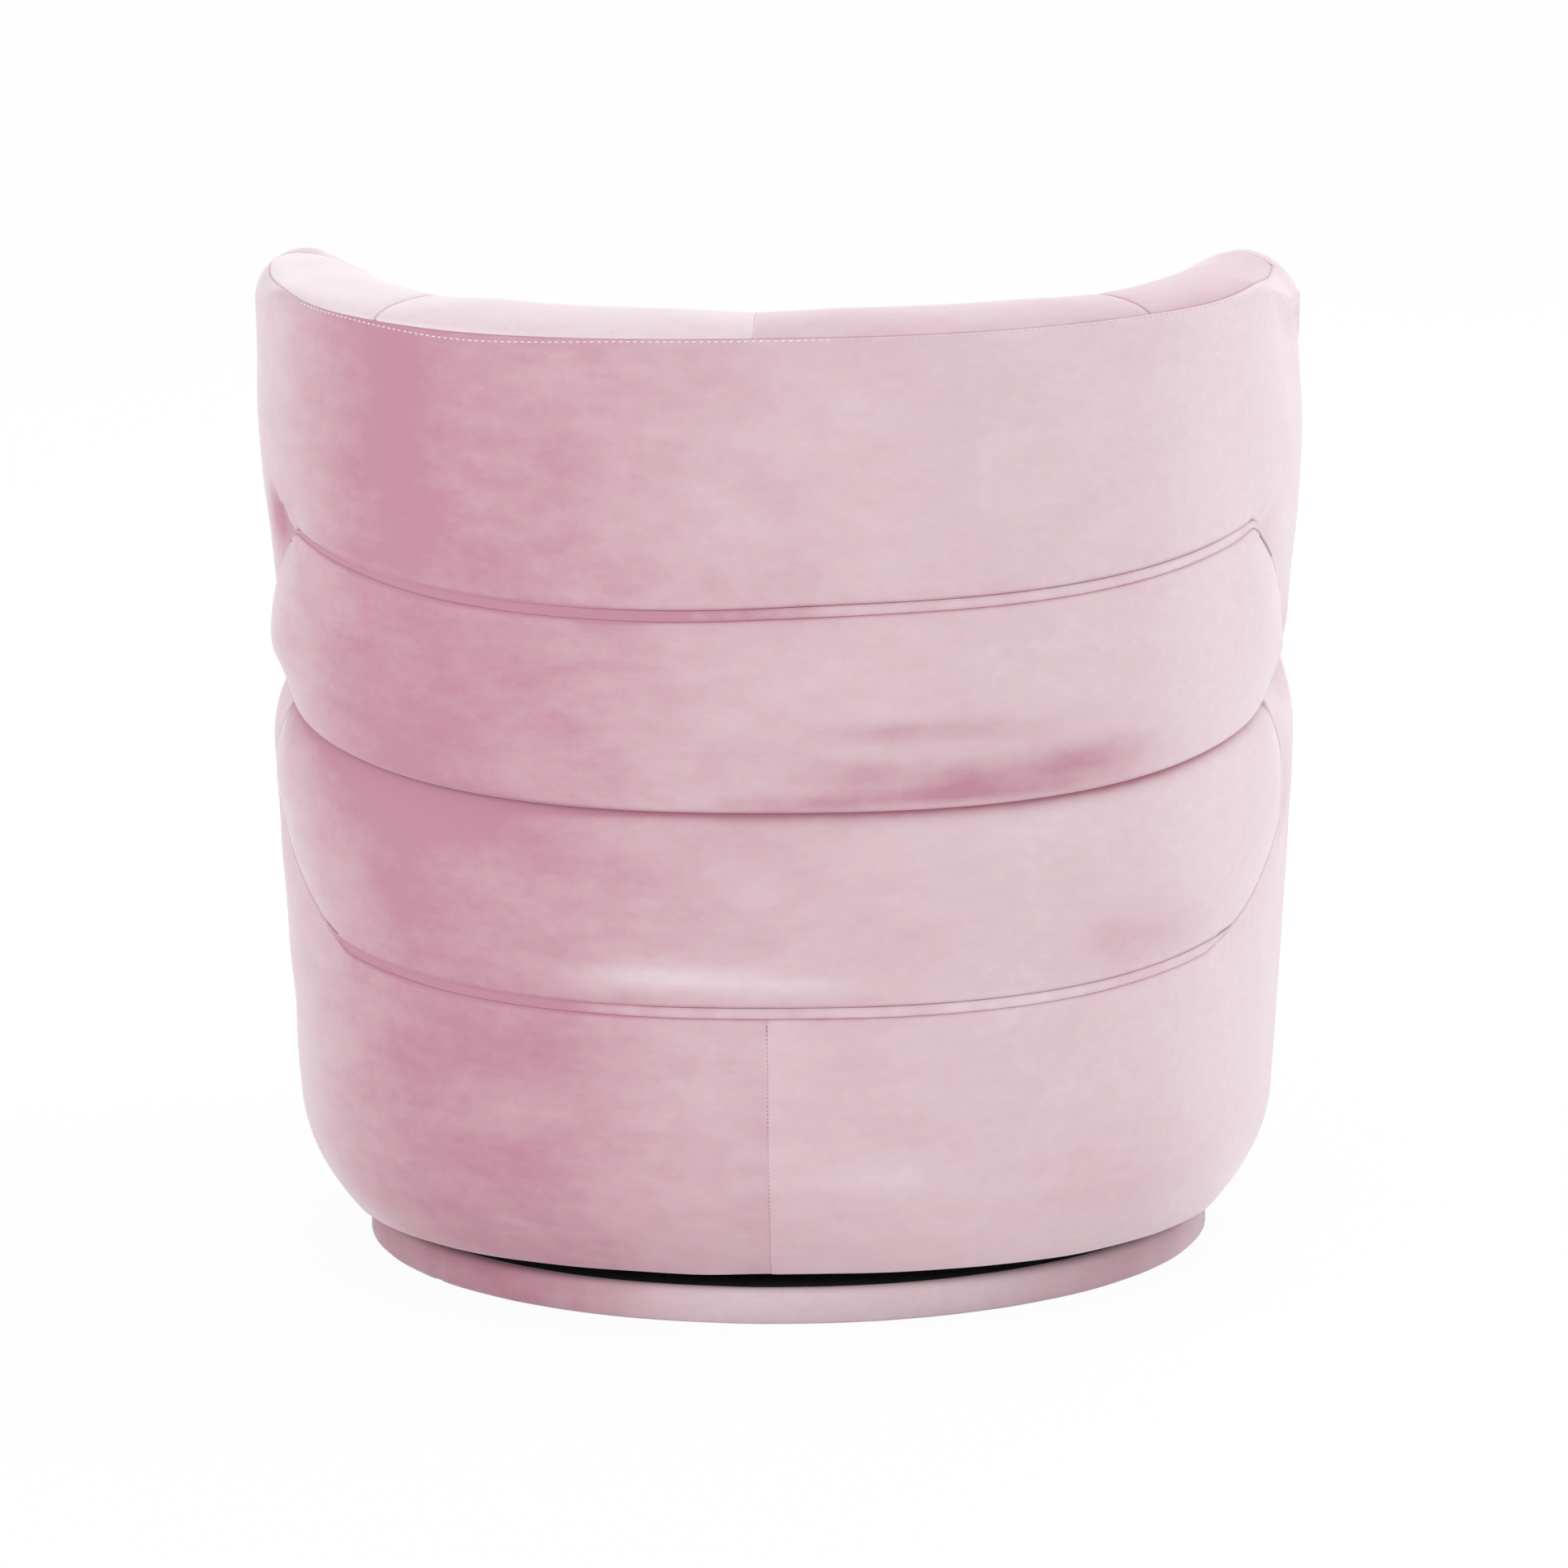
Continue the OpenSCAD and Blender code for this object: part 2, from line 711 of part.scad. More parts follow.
// ---- Glider: rails under the seat ----

module glider_rail(s) {
    x = s > 0 ? rail_x : -rail_x - steel_t;
    color(steel)
        difference() {
            union() {
                translate([x, -rail_half, rail_low_z])
                    cube([steel_t, 2 * rail_half, rail_h]);
                for (j = [-1, 1])
                    translate([s > 0 ? rail_x + steel_t : -rail_x - steel_t - tab_w,
                            j > 0 ? rail_half - steel_t : -rail_half, rail_low_z])
                        cube([tab_w, steel_t, rail_h]);
            }
            for (j = [-1, 1])
                cylinder_x(pin_d / 2 + 0.02, x - 1, x + steel_t + 1, j * pivot_y, low_pivot_z);
            at_rail_bolts(s)
                rotate([90, 0, 0])
                    cylinder(r = bolt_r + fit, h = 4 * steel_t, center = true);
        }
}
module glider_rail_left() { glider_rail(1); }
module glider_rail_right() { glider_rail(-1); }

// Places of the bolts that hold a rail's tabs to the cross beams
module at_rail_bolts(s) {
    for (j = [-1, 1])
        translate([s * (rail_x + steel_t + tab_w / 2), j * rail_half, low_pivot_z])
            children();
}

module rail_bolts() {
    color(steel)
        for (s = [-1, 1], j = [-1, 1])
            translate([s * (rail_x + steel_t + tab_w / 2), j * (rail_half - steel_t), low_pivot_z])
                rotate([j > 0 ? -90 : 90, 0, 0]) {
                    cylinder(r = bolt_r, h = steel_t + fit);
                    translate([0, 0, -bolt_head])
                        cylinder(r = bolt_r * 1.8, h = bolt_head, $fn = 6);
                }
}

module lower_pivot_pins() {
    color(steel)
        for (s = [-1, 1], j = [-1, 1])
            pivot_pin(s * (rail_x + steel_t), s * (bracket_x + side_gap / 2), j * pivot_y, low_pivot_z);
}

module cross_beams() {
    x = radius_at(90, ring_top_z, ring_in + ring_w + beam_t);
    color(wood)
        for (j = [-1, 1])
            translate([-x, j > 0 ? beam_y : -beam_y - beam_t, ring_top_z])
                cube([2 * x, beam_t, rail_low_z + rail_h - ring_top_z]);
}

// ---- Wooden frame ----

module bottom_ring() {
    color(wood)
        translate([0, 0, ring_low_z])
            linear_extrude(ply_t)
                difference() {
                    outline(ring_low_z, ring_in);
                    outline(ring_low_z, ring_in + ring_w);
                }
}

module dust_cover() {
    color(black)
        translate([0, 0, ring_low_z - cloth_t - fit])
            linear_extrude(cloth_t)
                difference() {
                    outline(ring_low_z, ring_in + 1);
                    square([2 * hole_x, 2 * hole_y], center = true);
                }
}

// Height at which the rib at angle phi ends
function rib_top_z(phi) =
    let (p = abs(phi))
    p < rail_end_deg ? top_rail_z
    : p < arm_end_deg ? crown_z(p + 1.6) - arm_rail_drop - ply_t
    : rails_top_z;

module rib(phi) {
    top = rib_top_z(phi) - fit;
    steps = 20;
    rotate([0, 0, 90 - phi])
        translate([0, ply_t / 2, 0])
            rotate([90, 0, 0])
                linear_extrude(ply_t)
                    polygon(concat(
                        [for (i = [0:steps]) let (z = mix(ring_top_z, top, i / steps))
                            [radius_at(phi, z, rib_in), z]],
                        [for (i = [steps:-1:0]) let (z = mix(ring_top_z, top, i / steps))
                            [radius_at(phi, z, rib_in + rib_w), z]]
                    ));
}

module frame_ribs() {
    color(wood)
        for (phi = rib_degs)
            rib(phi);
}

module seat_hoop() {
    t0 = rib_in + rib_w + 2;
    color(wood)
        translate([0, 0, hoop_z])
            linear_extrude(ply_t)
                difference() {
                    outline(hoop_z, t0);
                    translate([-box_x, -box_front_y])
                        square([2 * box_x, box_front_y + box_back_y]);
                }
}

module top_rail() {
    reach = rail_end_deg - 2;
    color(wood)
        translate([0, 0, top_rail_z])
            linear_extrude(ply_t)
                hoop_sector(rim_z - rim_pad_t, rib_in, pad_back_in - 8, -reach, reach, 30);
}

module arm_rail(s) {
    low = function (phi) crown_z(phi) - arm_rail_drop - ply_t;
    outer = function (phi, v)
        place(phi, low(phi) + v * ply_t, rib_in);
    inner = function (phi, v)
        place(phi, low(phi) + v * ply_t, pad_back_in - 8);
    color(wood)
        skin_between(outer, inner, on_side(s, even(rail_end_deg + 6, arm_end_deg - 1.5, 14)), 1);
}
module arm_rail_left() { arm_rail(1); }
module arm_rail_right() { arm_rail(-1); }

module seat_front_rail() {
    color(wood)
        translate([-box_x - rail_board_t, -box_front_y - rail_board_t, rails_low_z])
            cube([2 * (box_x + rail_board_t), rail_board_t, rail_board_h]);
}

module seat_back_rail() {
    color(wood)
        translate([-box_x - rail_board_t, box_back_y, rails_low_z])
            cube([2 * (box_x + rail_board_t), rail_board_t, rail_board_h]);
}

module seat_side_rails() {
    color(wood)
        for (s = [-1, 1])
            translate([s > 0 ? box_x : -box_x - rail_board_t, -box_front_y, rails_low_z])
                cube([rail_board_t, box_front_y + box_back_y, rail_board_h]);
}

module corner_blocks() {
    leg = 60;
    color(wood)
        for (s = [-1, 1], j = [-1, 1])
            translate([s * box_x, j > 0 ? box_back_y : -box_front_y, rails_low_z])
                mirror([s > 0 ? 1 : 0, 0])
                    mirror([0, j > 0 ? 1 : 0])
                        linear_extrude(rail_board_h - 20)
                            polygon([[0, 0], [leg, 0], [0, leg]]);
}

// ---- Seat deck ----

spring_w = 46;
// How far the wire bulges along the spring at each turn
loop = 4;
spring_pitch = 35;
spring_step = 2 * box_x / (spring_n + 1);
spring_front_y = -box_front_y - rail_board_t / 2;
spring_span = box_front_y + box_back_y + rail_board_t;
spring_bends = 2 * round(spring_span / spring_pitch / 2);

// A point of the spring's wire, where u runs from the front rail to the back rail
function wire_at(u) =
    let (a = 180 * spring_bends * u)
    [spring_w / 2 * cos(a), spring_front_y + spring_span * u + loop * sin(2 * a), rails_top_z + wire_d / 2];

// One sinuous spring: a wire of six sides swept along its wave
module spring() {
    rings = 6 * spring_bends;
    sides = 6;
    points = [for (i = [0:rings])
        let (
            c = wire_at(i / rings),
            d = wire_at((i + 0.5) / rings) - wire_at((i - 0.5) / rings),
            t = d / norm(d),
            n = [-t[1], t[0], 0]
        )
        for (k = [0:sides - 1])
            let (a = 360 * k / sides + 30)
            c + wire_d / 2 * (n * cos(a) + [0, 0, sin(a)])];
    at = function (i, k) i * sides + k % sides;
    faces = concat(
        [[for (k = [0:sides - 1]) k]],
        [[for (k = [sides - 1:-1:0]) rings * sides + k]],
        [for (i = [0:rings - 1]) for (k = [0:sides - 1]) each
            [[at(i, k), at(i + 1, k), at(i + 1, k + 1)], [at(i, k), at(i + 1, k + 1), at(i, k + 1)]]]
    );
    polyhedron(points = points, faces = faces, convexity = 8);
}

module at_springs() {
    for (i = [1:spring_n])
        translate([-box_x + i * spring_step, 0, 0])
            children();
}

module sinuous_springs() {
    color(steel)
        at_springs()
            spring();
}

// Clips that hold the ends of the springs down on the rails
module spring_clips() {
    clip_w = 14;
    clip_l = 7;
    color("ivory")
        at_springs()
            for (y = [spring_front_y, spring_front_y + spring_span])
                translate([spring_w / 2 - clip_w / 2, y - clip_l / 2, rails_top_z])
                    difference() {
                        cube([clip_w, clip_l, wire_d + clip_t]);
                        translate([clip_w / 2, clip_l / 2, wire_d / 2])
                            rotate([90, 0, 0])
                                cylinder(d = wire_d + 2 * clip_t, h = 2 * clip_l, center = true, $fn = 16);
                    }
}

module deck_cloth() {
    color(velvet)
        translate([0, 0, deck_z])
            linear_extrude(cloth_t) {
                outline(deck_z, pad_back_in);
                intersection() {
                    outline(deck_z, pad_t + fit);
                    translate([-half_w, -front_d])
                        square([2 * half_w, front_d - box_front_y + rail_board_t]);
                }
            }
}

module back_board() {
    reach = leaf_deg - 2;
    low_z = under_z;
    top_z = rim_z - side_drop - 14;
    outer = function (phi, v)
        place(phi, mix(low_z, top_z, v), pad_t + 0.5);
    inner = function (phi, v)
        place(phi, mix(low_z, top_z, v), pad_t + 0.5 + board_t);
    color("tan")
        skin_between(outer, inner, even(-reach, reach, 30), 6);
}

// ---- Outer covers ----

// Angles between which the seam crosses the rim, on the left
tip_start = tip_deg - tip_turn;
tip_end = tip_deg + tip_turn;
// Half the gap of the back's centre seam, as an angle
jump = 0.1;

// Neighbouring panels share their columns, so that their edges run side by side
half_cols = columns([jump, wing_deg, corner_deg], [13, 4]);
back_cols = concat(mirrored(half_cols), half_cols);
function tail(list) = [for (i = [1:len(list) - 1]) list[i]];
function across(side_cols) = concat(mirrored(tail(side_cols)), back_cols, tail(side_cols));

module collar() {
    low = function (phi) collar_edge(phi) - wall_top_z(phi) + seam_gap / 2;
    top = function (phi) seam_s(phi) - (abs(phi) < tip_end ? seam_gap / 2 : 0);
    outer = function (phi, v)
        let (s = mix(low(phi), top(phi), v), q = skin(phi, s))
        place(phi, q[1], q[0] + tuck(s - low(phi)));
    inner = function (phi, v)
        let (q = lining(phi, mix(low(phi), top(phi), v)))
        place(phi, q[1], q[0]);
    color(velvet)
        skin_between(outer, inner, across(columns([corner_deg, tip_start, tip_end, arm_end_deg], [4, 4, 12])), 14);
}

module upper_strip() {
    color(velvet)
        outer_panel(back_cols,
            function (phi) collar_edge(phi) - strip_w,
            function (phi) collar_edge(phi) - seam_gap / 2,
            1, 0, 0);
}

module upper_band() {
    reach = band_end_deg - 1.5;
    color(velvet)
        outer_panel(across(even(corner_deg, reach, 5)),
            function (phi) band_edge(phi) + seam_gap / 2,
            function (phi) collar_edge(phi)
                - (abs(phi) < corner_deg ? strip_w : mix(strip_w, 0, clamp(abs(phi) - corner_deg)))
                - seam_gap / 2,
            6, 1, 0.6);
}

module lower_band() {
    reach = leaf_deg - 0.4;
    color(velvet)
        outer_panel(across(even(corner_deg, reach, 3)),
            function (phi) skirt_edge(phi) + strip_w * clamp(corner_deg + 1 - abs(phi)) + seam_gap / 2,
            function (phi) band_edge(phi) - seam_gap / 2,
            6, 0.6, 0.8);
}

module lower_strip() {
    color(velvet)
        outer_panel(back_cols,
            function (phi) skirt_edge(phi) + seam_gap / 2,
            function (phi) skirt_edge(phi) + strip_w,
            1, 0, 0);
}

// Half of the lower cover, from the back seam round to the front of the arm. Two
// columns stand close together where the lower band ends.
module skirt(s) {
    color(velvet)
        outer_panel(
            on_side(s, columns(
                [jump, corner_deg, leaf_deg - jump, leaf_deg + jump, arm_end_deg],
                [17, 3, 1, 13]
            )),
            function (phi) hem_z,
            function (phi) (abs(phi) < leaf_deg ? skirt_edge(phi) : notch_z) - seam_gap / 2,
            9, 0.2, 1);
}
module skirt_left() { skirt(1); }
module skirt_right() { skirt(-1); }

// Angle past the front of the chair brought back into the range of place()
function wrap(phi) = phi > 180 ? phi - 360 : phi;

module front_panel() {
    gap = 0.2;
    outer = function (phi, v)
        let (z = mix(hem_z, front_top_z, v))
        place(wrap(phi), z, 0.2 * tuck(z - hem_z) + tuck(front_top_z - z));
    inner = function (phi, v)
        place(wrap(phi), mix(hem_z, front_top_z, v), pad_t);
    color(velvet)
        skin_between(outer, inner, even(arm_end_deg + gap, 360 - gap - arm_end_deg, 26), 8);
}

// ---- Inner covers ----

// Distance down the section from the outer seam to the lower edge of the inner pads
function inner_end_s(phi) = rim_l + crown_z(phi) - inner_drop - pad_low_z;

// Half the gap between two inner covers, as an angle
inner_gap = 0.08;

module inner_panel(cols) {
    color(velvet_pale)
        section_panel(cols,
            function (phi) seam_s(phi) + seam_gap / 2,
            function (phi) inner_end_s(phi),
            10);
}
module inner_back(s) { inner_panel(on_side(s, even(inner_gap, wing_deg - inner_gap, 13))); }
module inner_wing(s) {
    inner_panel(on_side(s, columns([wing_deg + inner_gap, corner_deg, tip_start, tip_end], [4, 4, 4])));
}
module inner_back_left() { inner_back(1); }
module inner_back_right() { inner_back(-1); }
module inner_wing_left() { inner_wing(1); }
module inner_wing_right() { inner_wing(-1); }

module inner_arm(s) {
    color(velvet)
        section_panel(on_side(s, even(tip_end + 2 * inner_gap, arm_end_deg, 16)),
            function (phi) rim_l + seam_gap / 2,
            function (phi) inner_end_s(phi),
            6);
}
module inner_arm_left() { inner_arm(1); }
module inner_arm_right() { inner_arm(-1); }

// Angle that the rounded front of an arm takes
function nose_turn() = asin(nose_l / radius_at(arm_end_deg, arm_z, rim_w / 2));

// The rounded front of an arm: u runs round its nose, v from the seat deck up
module arm_nose(s) {
    turn = nose_turn();
    low = front_top_z + fit;
    top = crown_z(arm_end_deg);
    phi0 = arm_end_deg + 0.25;
    nose = function (u, v, grow)
        let (
            z = mix(low, top, v),
            k = clamp((z - (top - side_drop)) / side_drop),
            h = sqrt(max(0, 1 - k * k)),
            half = mix(0.12, 1, h) * rim_w / 2,
            mid = rim_w / 2 + (crown_in - rim_w / 2) * k
        )
        place(s * (phi0 + turn * grow * sin(180 * u) * mix(0.1, 1, h)), z, mid - half * cos(180 * u));
    color(velvet)
        skin_between(
            function (u, v) nose(abs(u), v, 1),
            function (u, v) nose(abs(u), v, 0),
            on_side(s, even(0, 1, 10)), 10);
}
module arm_nose_left() { arm_nose(1); }
module arm_nose_right() { arm_nose(-1); }

// ---- Seat cushion ----

// Distance of the cushion's front inside the front panel's skin
front_in = 8;

// Radius of the cushion's plan at angle phi: it follows the inner face, and at the
// front it comes forward between the arms
function cushion_r_at(phi) =
    let (
        z = deck_z + cushion_r,
        inside = radius_at(phi, z, wall_w(phi, z) + cushion_gap),
        forward = radius_at(phi, z, front_in),
        start = arm_end_deg + nose_turn() + 1
    )
    mix(inside, forward, smooth((abs(phi) - start) / 16));

module seat_cushion() {
    rings = 6;
    steps = 60;
    low = deck_z + cloth_t + fit;
    // Each ring is [inset, height]; the edge is a half round of radius cushion_r
    profile = concat(
        [for (i = [0:rings]) let (a = 90 * i / rings) [cushion_r * (1 - sin(a)), low + cushion_r * (1 - cos(a))]],
        [for (i = [0:rings]) let (a = 90 * i / rings) [cushion_r * (1 - cos(a)), seat_z - cushion_r * (1 - sin(a))]]
    );
    n = len(profile);
    points = [for (p = profile) for (i = [0:steps - 1])
        let (phi = 360 * i / steps - 180, r = cushion_r_at(phi) - p[0])
        [r * sin(phi), r * cos(phi), p[1]]];
    at = function (j, i) j * steps + i % steps;
    faces = concat(
        [[for (i = [steps - 1:-1:0]) i]],
        [[for (i = [0:steps - 1]) (n - 1) * steps + i]],
        [for (j = [0:n - 2]) for (i = [0:steps - 1]) each
            [[at(j, i), at(j + 1, i + 1), at(j + 1, i)], [at(j, i), at(j, i + 1), at(j + 1, i + 1)]]]
    );
    color(velvet_pale)
        polyhedron(points = points, faces = faces, convexity = 4);
}

plinth_cover();
base_board();
floor_glides();
swivel_lower_plate();
swivel_bolts();
king_pin();
bearing_balls();
bearing_cage();
swivel_upper_plate();
glider_bracket_left();
glider_bracket_right();
bracket_bolts();
cross_tubes();
upper_pivot_pins();
rear_link_left();
rear_link_right();
rear_link_bushes();
front_link_left();
front_link_right();
front_link_bushes();
glider_rail_left();
glider_rail_right();
lower_pivot_pins();
rail_bolts();
cross_beams();
bottom_ring();
dust_cover();
frame_ribs();
seat_hoop();
top_rail();
arm_rail_left();
arm_rail_right();
seat_front_rail();
seat_back_rail();
seat_side_rails();
corner_blocks();
sinuous_springs();
spring_clips();
deck_cloth();
back_board();
collar();
upper_strip();
upper_band();
lower_band();
lower_strip();
skirt_left();
skirt_right();
front_panel();
inner_back_left();
inner_back_right();
inner_wing_left();
inner_wing_right();
inner_arm_left();
inner_arm_right();
arm_nose_left();
arm_nose_right();
seat_cushion();
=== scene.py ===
"""Swivel glider nursery chair: the velvet covers, the seat cushion and the finishes round the
CAD frame. Laid out as a Blender add-on and run as a script. Lengths are in metres, and angles
called phi are in degrees round the body, from the centre of the back towards the sitter's left."""

import json
import math
from collections import namedtuple

import bpy
import numpy as np
from bpy.props import FloatProperty, FloatVectorProperty, IntProperty, PointerProperty
from mathutils import Matrix, Vector, geometry
from mathutils.bvhtree import BVHTree
from mathutils.kdtree import KDTree


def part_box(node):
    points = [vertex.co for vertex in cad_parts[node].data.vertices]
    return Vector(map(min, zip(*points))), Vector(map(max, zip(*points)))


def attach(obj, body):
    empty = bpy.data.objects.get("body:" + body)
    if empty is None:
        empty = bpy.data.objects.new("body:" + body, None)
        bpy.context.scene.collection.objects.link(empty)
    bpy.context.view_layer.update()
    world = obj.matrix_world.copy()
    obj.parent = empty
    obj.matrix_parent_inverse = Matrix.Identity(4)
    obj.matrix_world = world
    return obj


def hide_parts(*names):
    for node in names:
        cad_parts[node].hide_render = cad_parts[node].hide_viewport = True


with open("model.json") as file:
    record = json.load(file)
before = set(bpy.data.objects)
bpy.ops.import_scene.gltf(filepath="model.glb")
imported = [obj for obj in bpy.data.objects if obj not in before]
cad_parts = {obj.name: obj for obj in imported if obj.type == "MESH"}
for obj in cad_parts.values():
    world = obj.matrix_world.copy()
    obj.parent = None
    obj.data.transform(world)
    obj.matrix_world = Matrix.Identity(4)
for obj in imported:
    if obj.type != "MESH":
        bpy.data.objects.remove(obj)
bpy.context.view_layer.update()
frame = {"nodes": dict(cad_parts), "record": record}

bl_info = {
    "name": "Swivel Glider Chair",
    "version": (1, 0, 0),
    "blender": (4, 5, 0),
    "location": "View3D > Sidebar > Chair",
    "description": "Builds the velvet covers and finishes of a swivel glider chair",
    "category": "Add Mesh",
}

SEAT = "seat"
BASE = "base"
LEFT, RIGHT = 1, -1
SIDE_NAME = {LEFT: "left", RIGHT: "right"}


# ---- Sizes and colours that a user may change ----


def lowest(node):
    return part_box(node)[0]


def highest(node):
    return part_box(node)[1]


def length(name, text, default):
    return FloatProperty(name=name, description=text, default=default, min=0, unit="LENGTH")


def share(name, text, default):
    return FloatProperty(name=name, description=text, default=default, min=0, max=1, subtype="FACTOR")


def colour(name, text, default):
    return FloatVectorProperty(
        name=name, description=text, default=default, size=3, min=0, max=1, subtype="COLOR"
    )


class BodySizes(bpy.types.PropertyGroup):
    """The upholstered body, read from the frame where the frame shows it."""

    half_width: length("Half width", "Half width at the widest", highest("collar").x)
    back: length("Back", "Reach behind the swivel axis", highest("collar").y)
    front: length("Front", "Reach in front of the swivel axis", -lowest("front_panel").y)
    rim: length("Rim", "Height of the rim's crown", highest("inner_back_left").z)
    arm: length("Arm", "Height of the arms at the front", highest("arm_nose_left").z)
    hem: length("Hem", "Height of the lower edge", lowest("skirt_left").z)
    deck: length("Deck", "Height of the seat deck's cover", highest("deck_cloth").z)
    seat: length("Seat", "Height of the seat cushion", highest("seat_cushion").z)
    rim_width: length("Rim width", "Thickness of the wall at the rim", 0.105)
    lumbar_width: length("Lumbar width", "Thickness of the back at the seat", 0.178)


class BandSizes(bpy.types.PropertyGroup):
    """The seams between the outer covers."""

    collar: length("Collar seam", "Height of the seam under the collar", 0.558)
    middle: length("Middle seam", "Height of the seam between the two bands", 0.404)
    skirt: length("Skirt seam", "Height of the seam over the skirt", lowest("lower_strip").z)
    notch: length("Waist", "Height of the seam round the sides", highest("skirt_left").z)
    strip: length("Strip", "Width of the stitched strips", 0.008)
    swell: length("Swell", "Crown of the padded bands", 0.0035)
    stitch: length("Stitch", "Length of a stitch", 0.0036)
    pitch: length("Pitch", "Distance between two stitches", 0.0054)


class CushionSizes(bpy.types.PropertyGroup):
    """The loose seat cushion."""

    crown: length("Crown", "Rise of the cushion's middle", 0.012)
    welt: length("Welt", "Radius of the piping", 0.0032)
    fill: share("Fill", "How tight the cushion is stuffed", 0.8)
    pressure: FloatProperty(name="Pressure", description="Cloth pressure", default=4.0, min=0)
    frames: IntProperty(name="Frames", description="Frames of the cloth simulation", default=20)


class Colours(bpy.types.PropertyGroup):
    """Colours of the finishes, as linear values."""

    rose: colour("Rose", "Velvet whose pile stands up", (0.525, 0.258, 0.332))
    pale: colour("Pale", "Velvet brushed along its pile", (0.715, 0.555, 0.600))
    # A painted highlight: the paler colour that the velvet takes where it faces the light
    painted_highlight: colour("Bloom", "Velvet laid flat, facing the light", (0.86, 0.775, 0.815))
    sheen: share("Sheen", "Strength of the velvet's shine at its edges", 0.85)
    thread: colour("Thread", "Thread of the rim's seam", (0.93, 0.84, 0.88))
    pale_thread: colour("Pale thread", "Thread of the rim's seam where it is worn", (0.76, 0.62, 0.67))
    seam_thread: colour("Seam thread", "Thread of the strips and the skirt", (0.50, 0.24, 0.32))
    birch: colour("Birch", "Plywood", (0.60, 0.42, 0.24))
    beech: colour("Beech", "Seat rails", (0.52, 0.32, 0.17))


class ChairSettings(bpy.types.PropertyGroup):
    """All settings of the chair."""

    body: PointerProperty(type=BodySizes)
    bands: PointerProperty(type=BandSizes)
    cushion: PointerProperty(type=CushionSizes)
    colours: PointerProperty(type=Colours)


def settings():
    return bpy.context.scene.glider_chair


# ---- Shape of the body ----

# Angles of the seams: the corners and ends of the bands, the wing seams and the arms
CORNER, BAND_END, ARM_END = 61.0, 86.0, 130.0
# Angle of the wing seams at the rim, on the sitter's left and right, and at the seat
WING, WING_FOOT = {LEFT: 44.0, RIGHT: 42.6}, 45.0
# Angles of the seams down the middle of the inner back and of the skirt
CENTRE, SKIRT_CENTRE = 1.2, 0.5
# Angle of the lower band's ends, on the sitter's left and right
LEAF = {LEFT: 79.5, RIGHT: 75.6}
# Angle at which the lower band's edge turns up
BAND_TURN = 57.0
# Length of the section over the rim, from the outer seam to the inner side
OVER = 0.150
# The rim's seam: angles from the sitter's right to the left, and its places on the section
RIM_SEAM = (
    (-79.3, -76, -53, -41, 0, 33, 54, 72, 86),
    (0.047, 0.046, 0.019, 0.019, 0.011, 0.0005, 0.008, 0.034, 0.038),
)
# Where that seam turns back over the rim, on each side: places on the section, and angles
CROSSING = {
    LEFT: ((0.038, 0.057, 0.080, 0.105, OVER), (86, 83.6, 80.3, 80.8, 84)),
    RIGHT: ((0.047, 0.062, 0.080, 0.105, OVER), (79.3, 79, 79.2, 80.5, 84)),
}
# Metres round the body in one degree
DEGREE = 0.0068
# Half the gap between two covers
GAP = 0.0001


def clamp(x):
    return np.clip(x, 0.0, 1.0)


def smooth(x):
    k = clamp(x)
    return k * k * (3 - 2 * k)


def mix(a, b, k):
    return a + (b - a) * k


def bell(x, middle, width):
    """A bump of height 1 round the middle."""
    return np.exp(-(((x - middle) / width) ** 2))


def sided(phi, left, right):
    """One value on the sitter's left, and another on the right."""
    return np.where(np.asarray(phi) > 0, left, right)


def unit(v):
    return v / np.linalg.norm(v)


def eased(x, places, values, width):
    """The values between places, with their corners rounded over the width."""
    steps = np.linspace(-width, width, 9)[:, None]
    return np.interp(np.ravel(x) + steps, places, values).mean(0).reshape(np.shape(x))


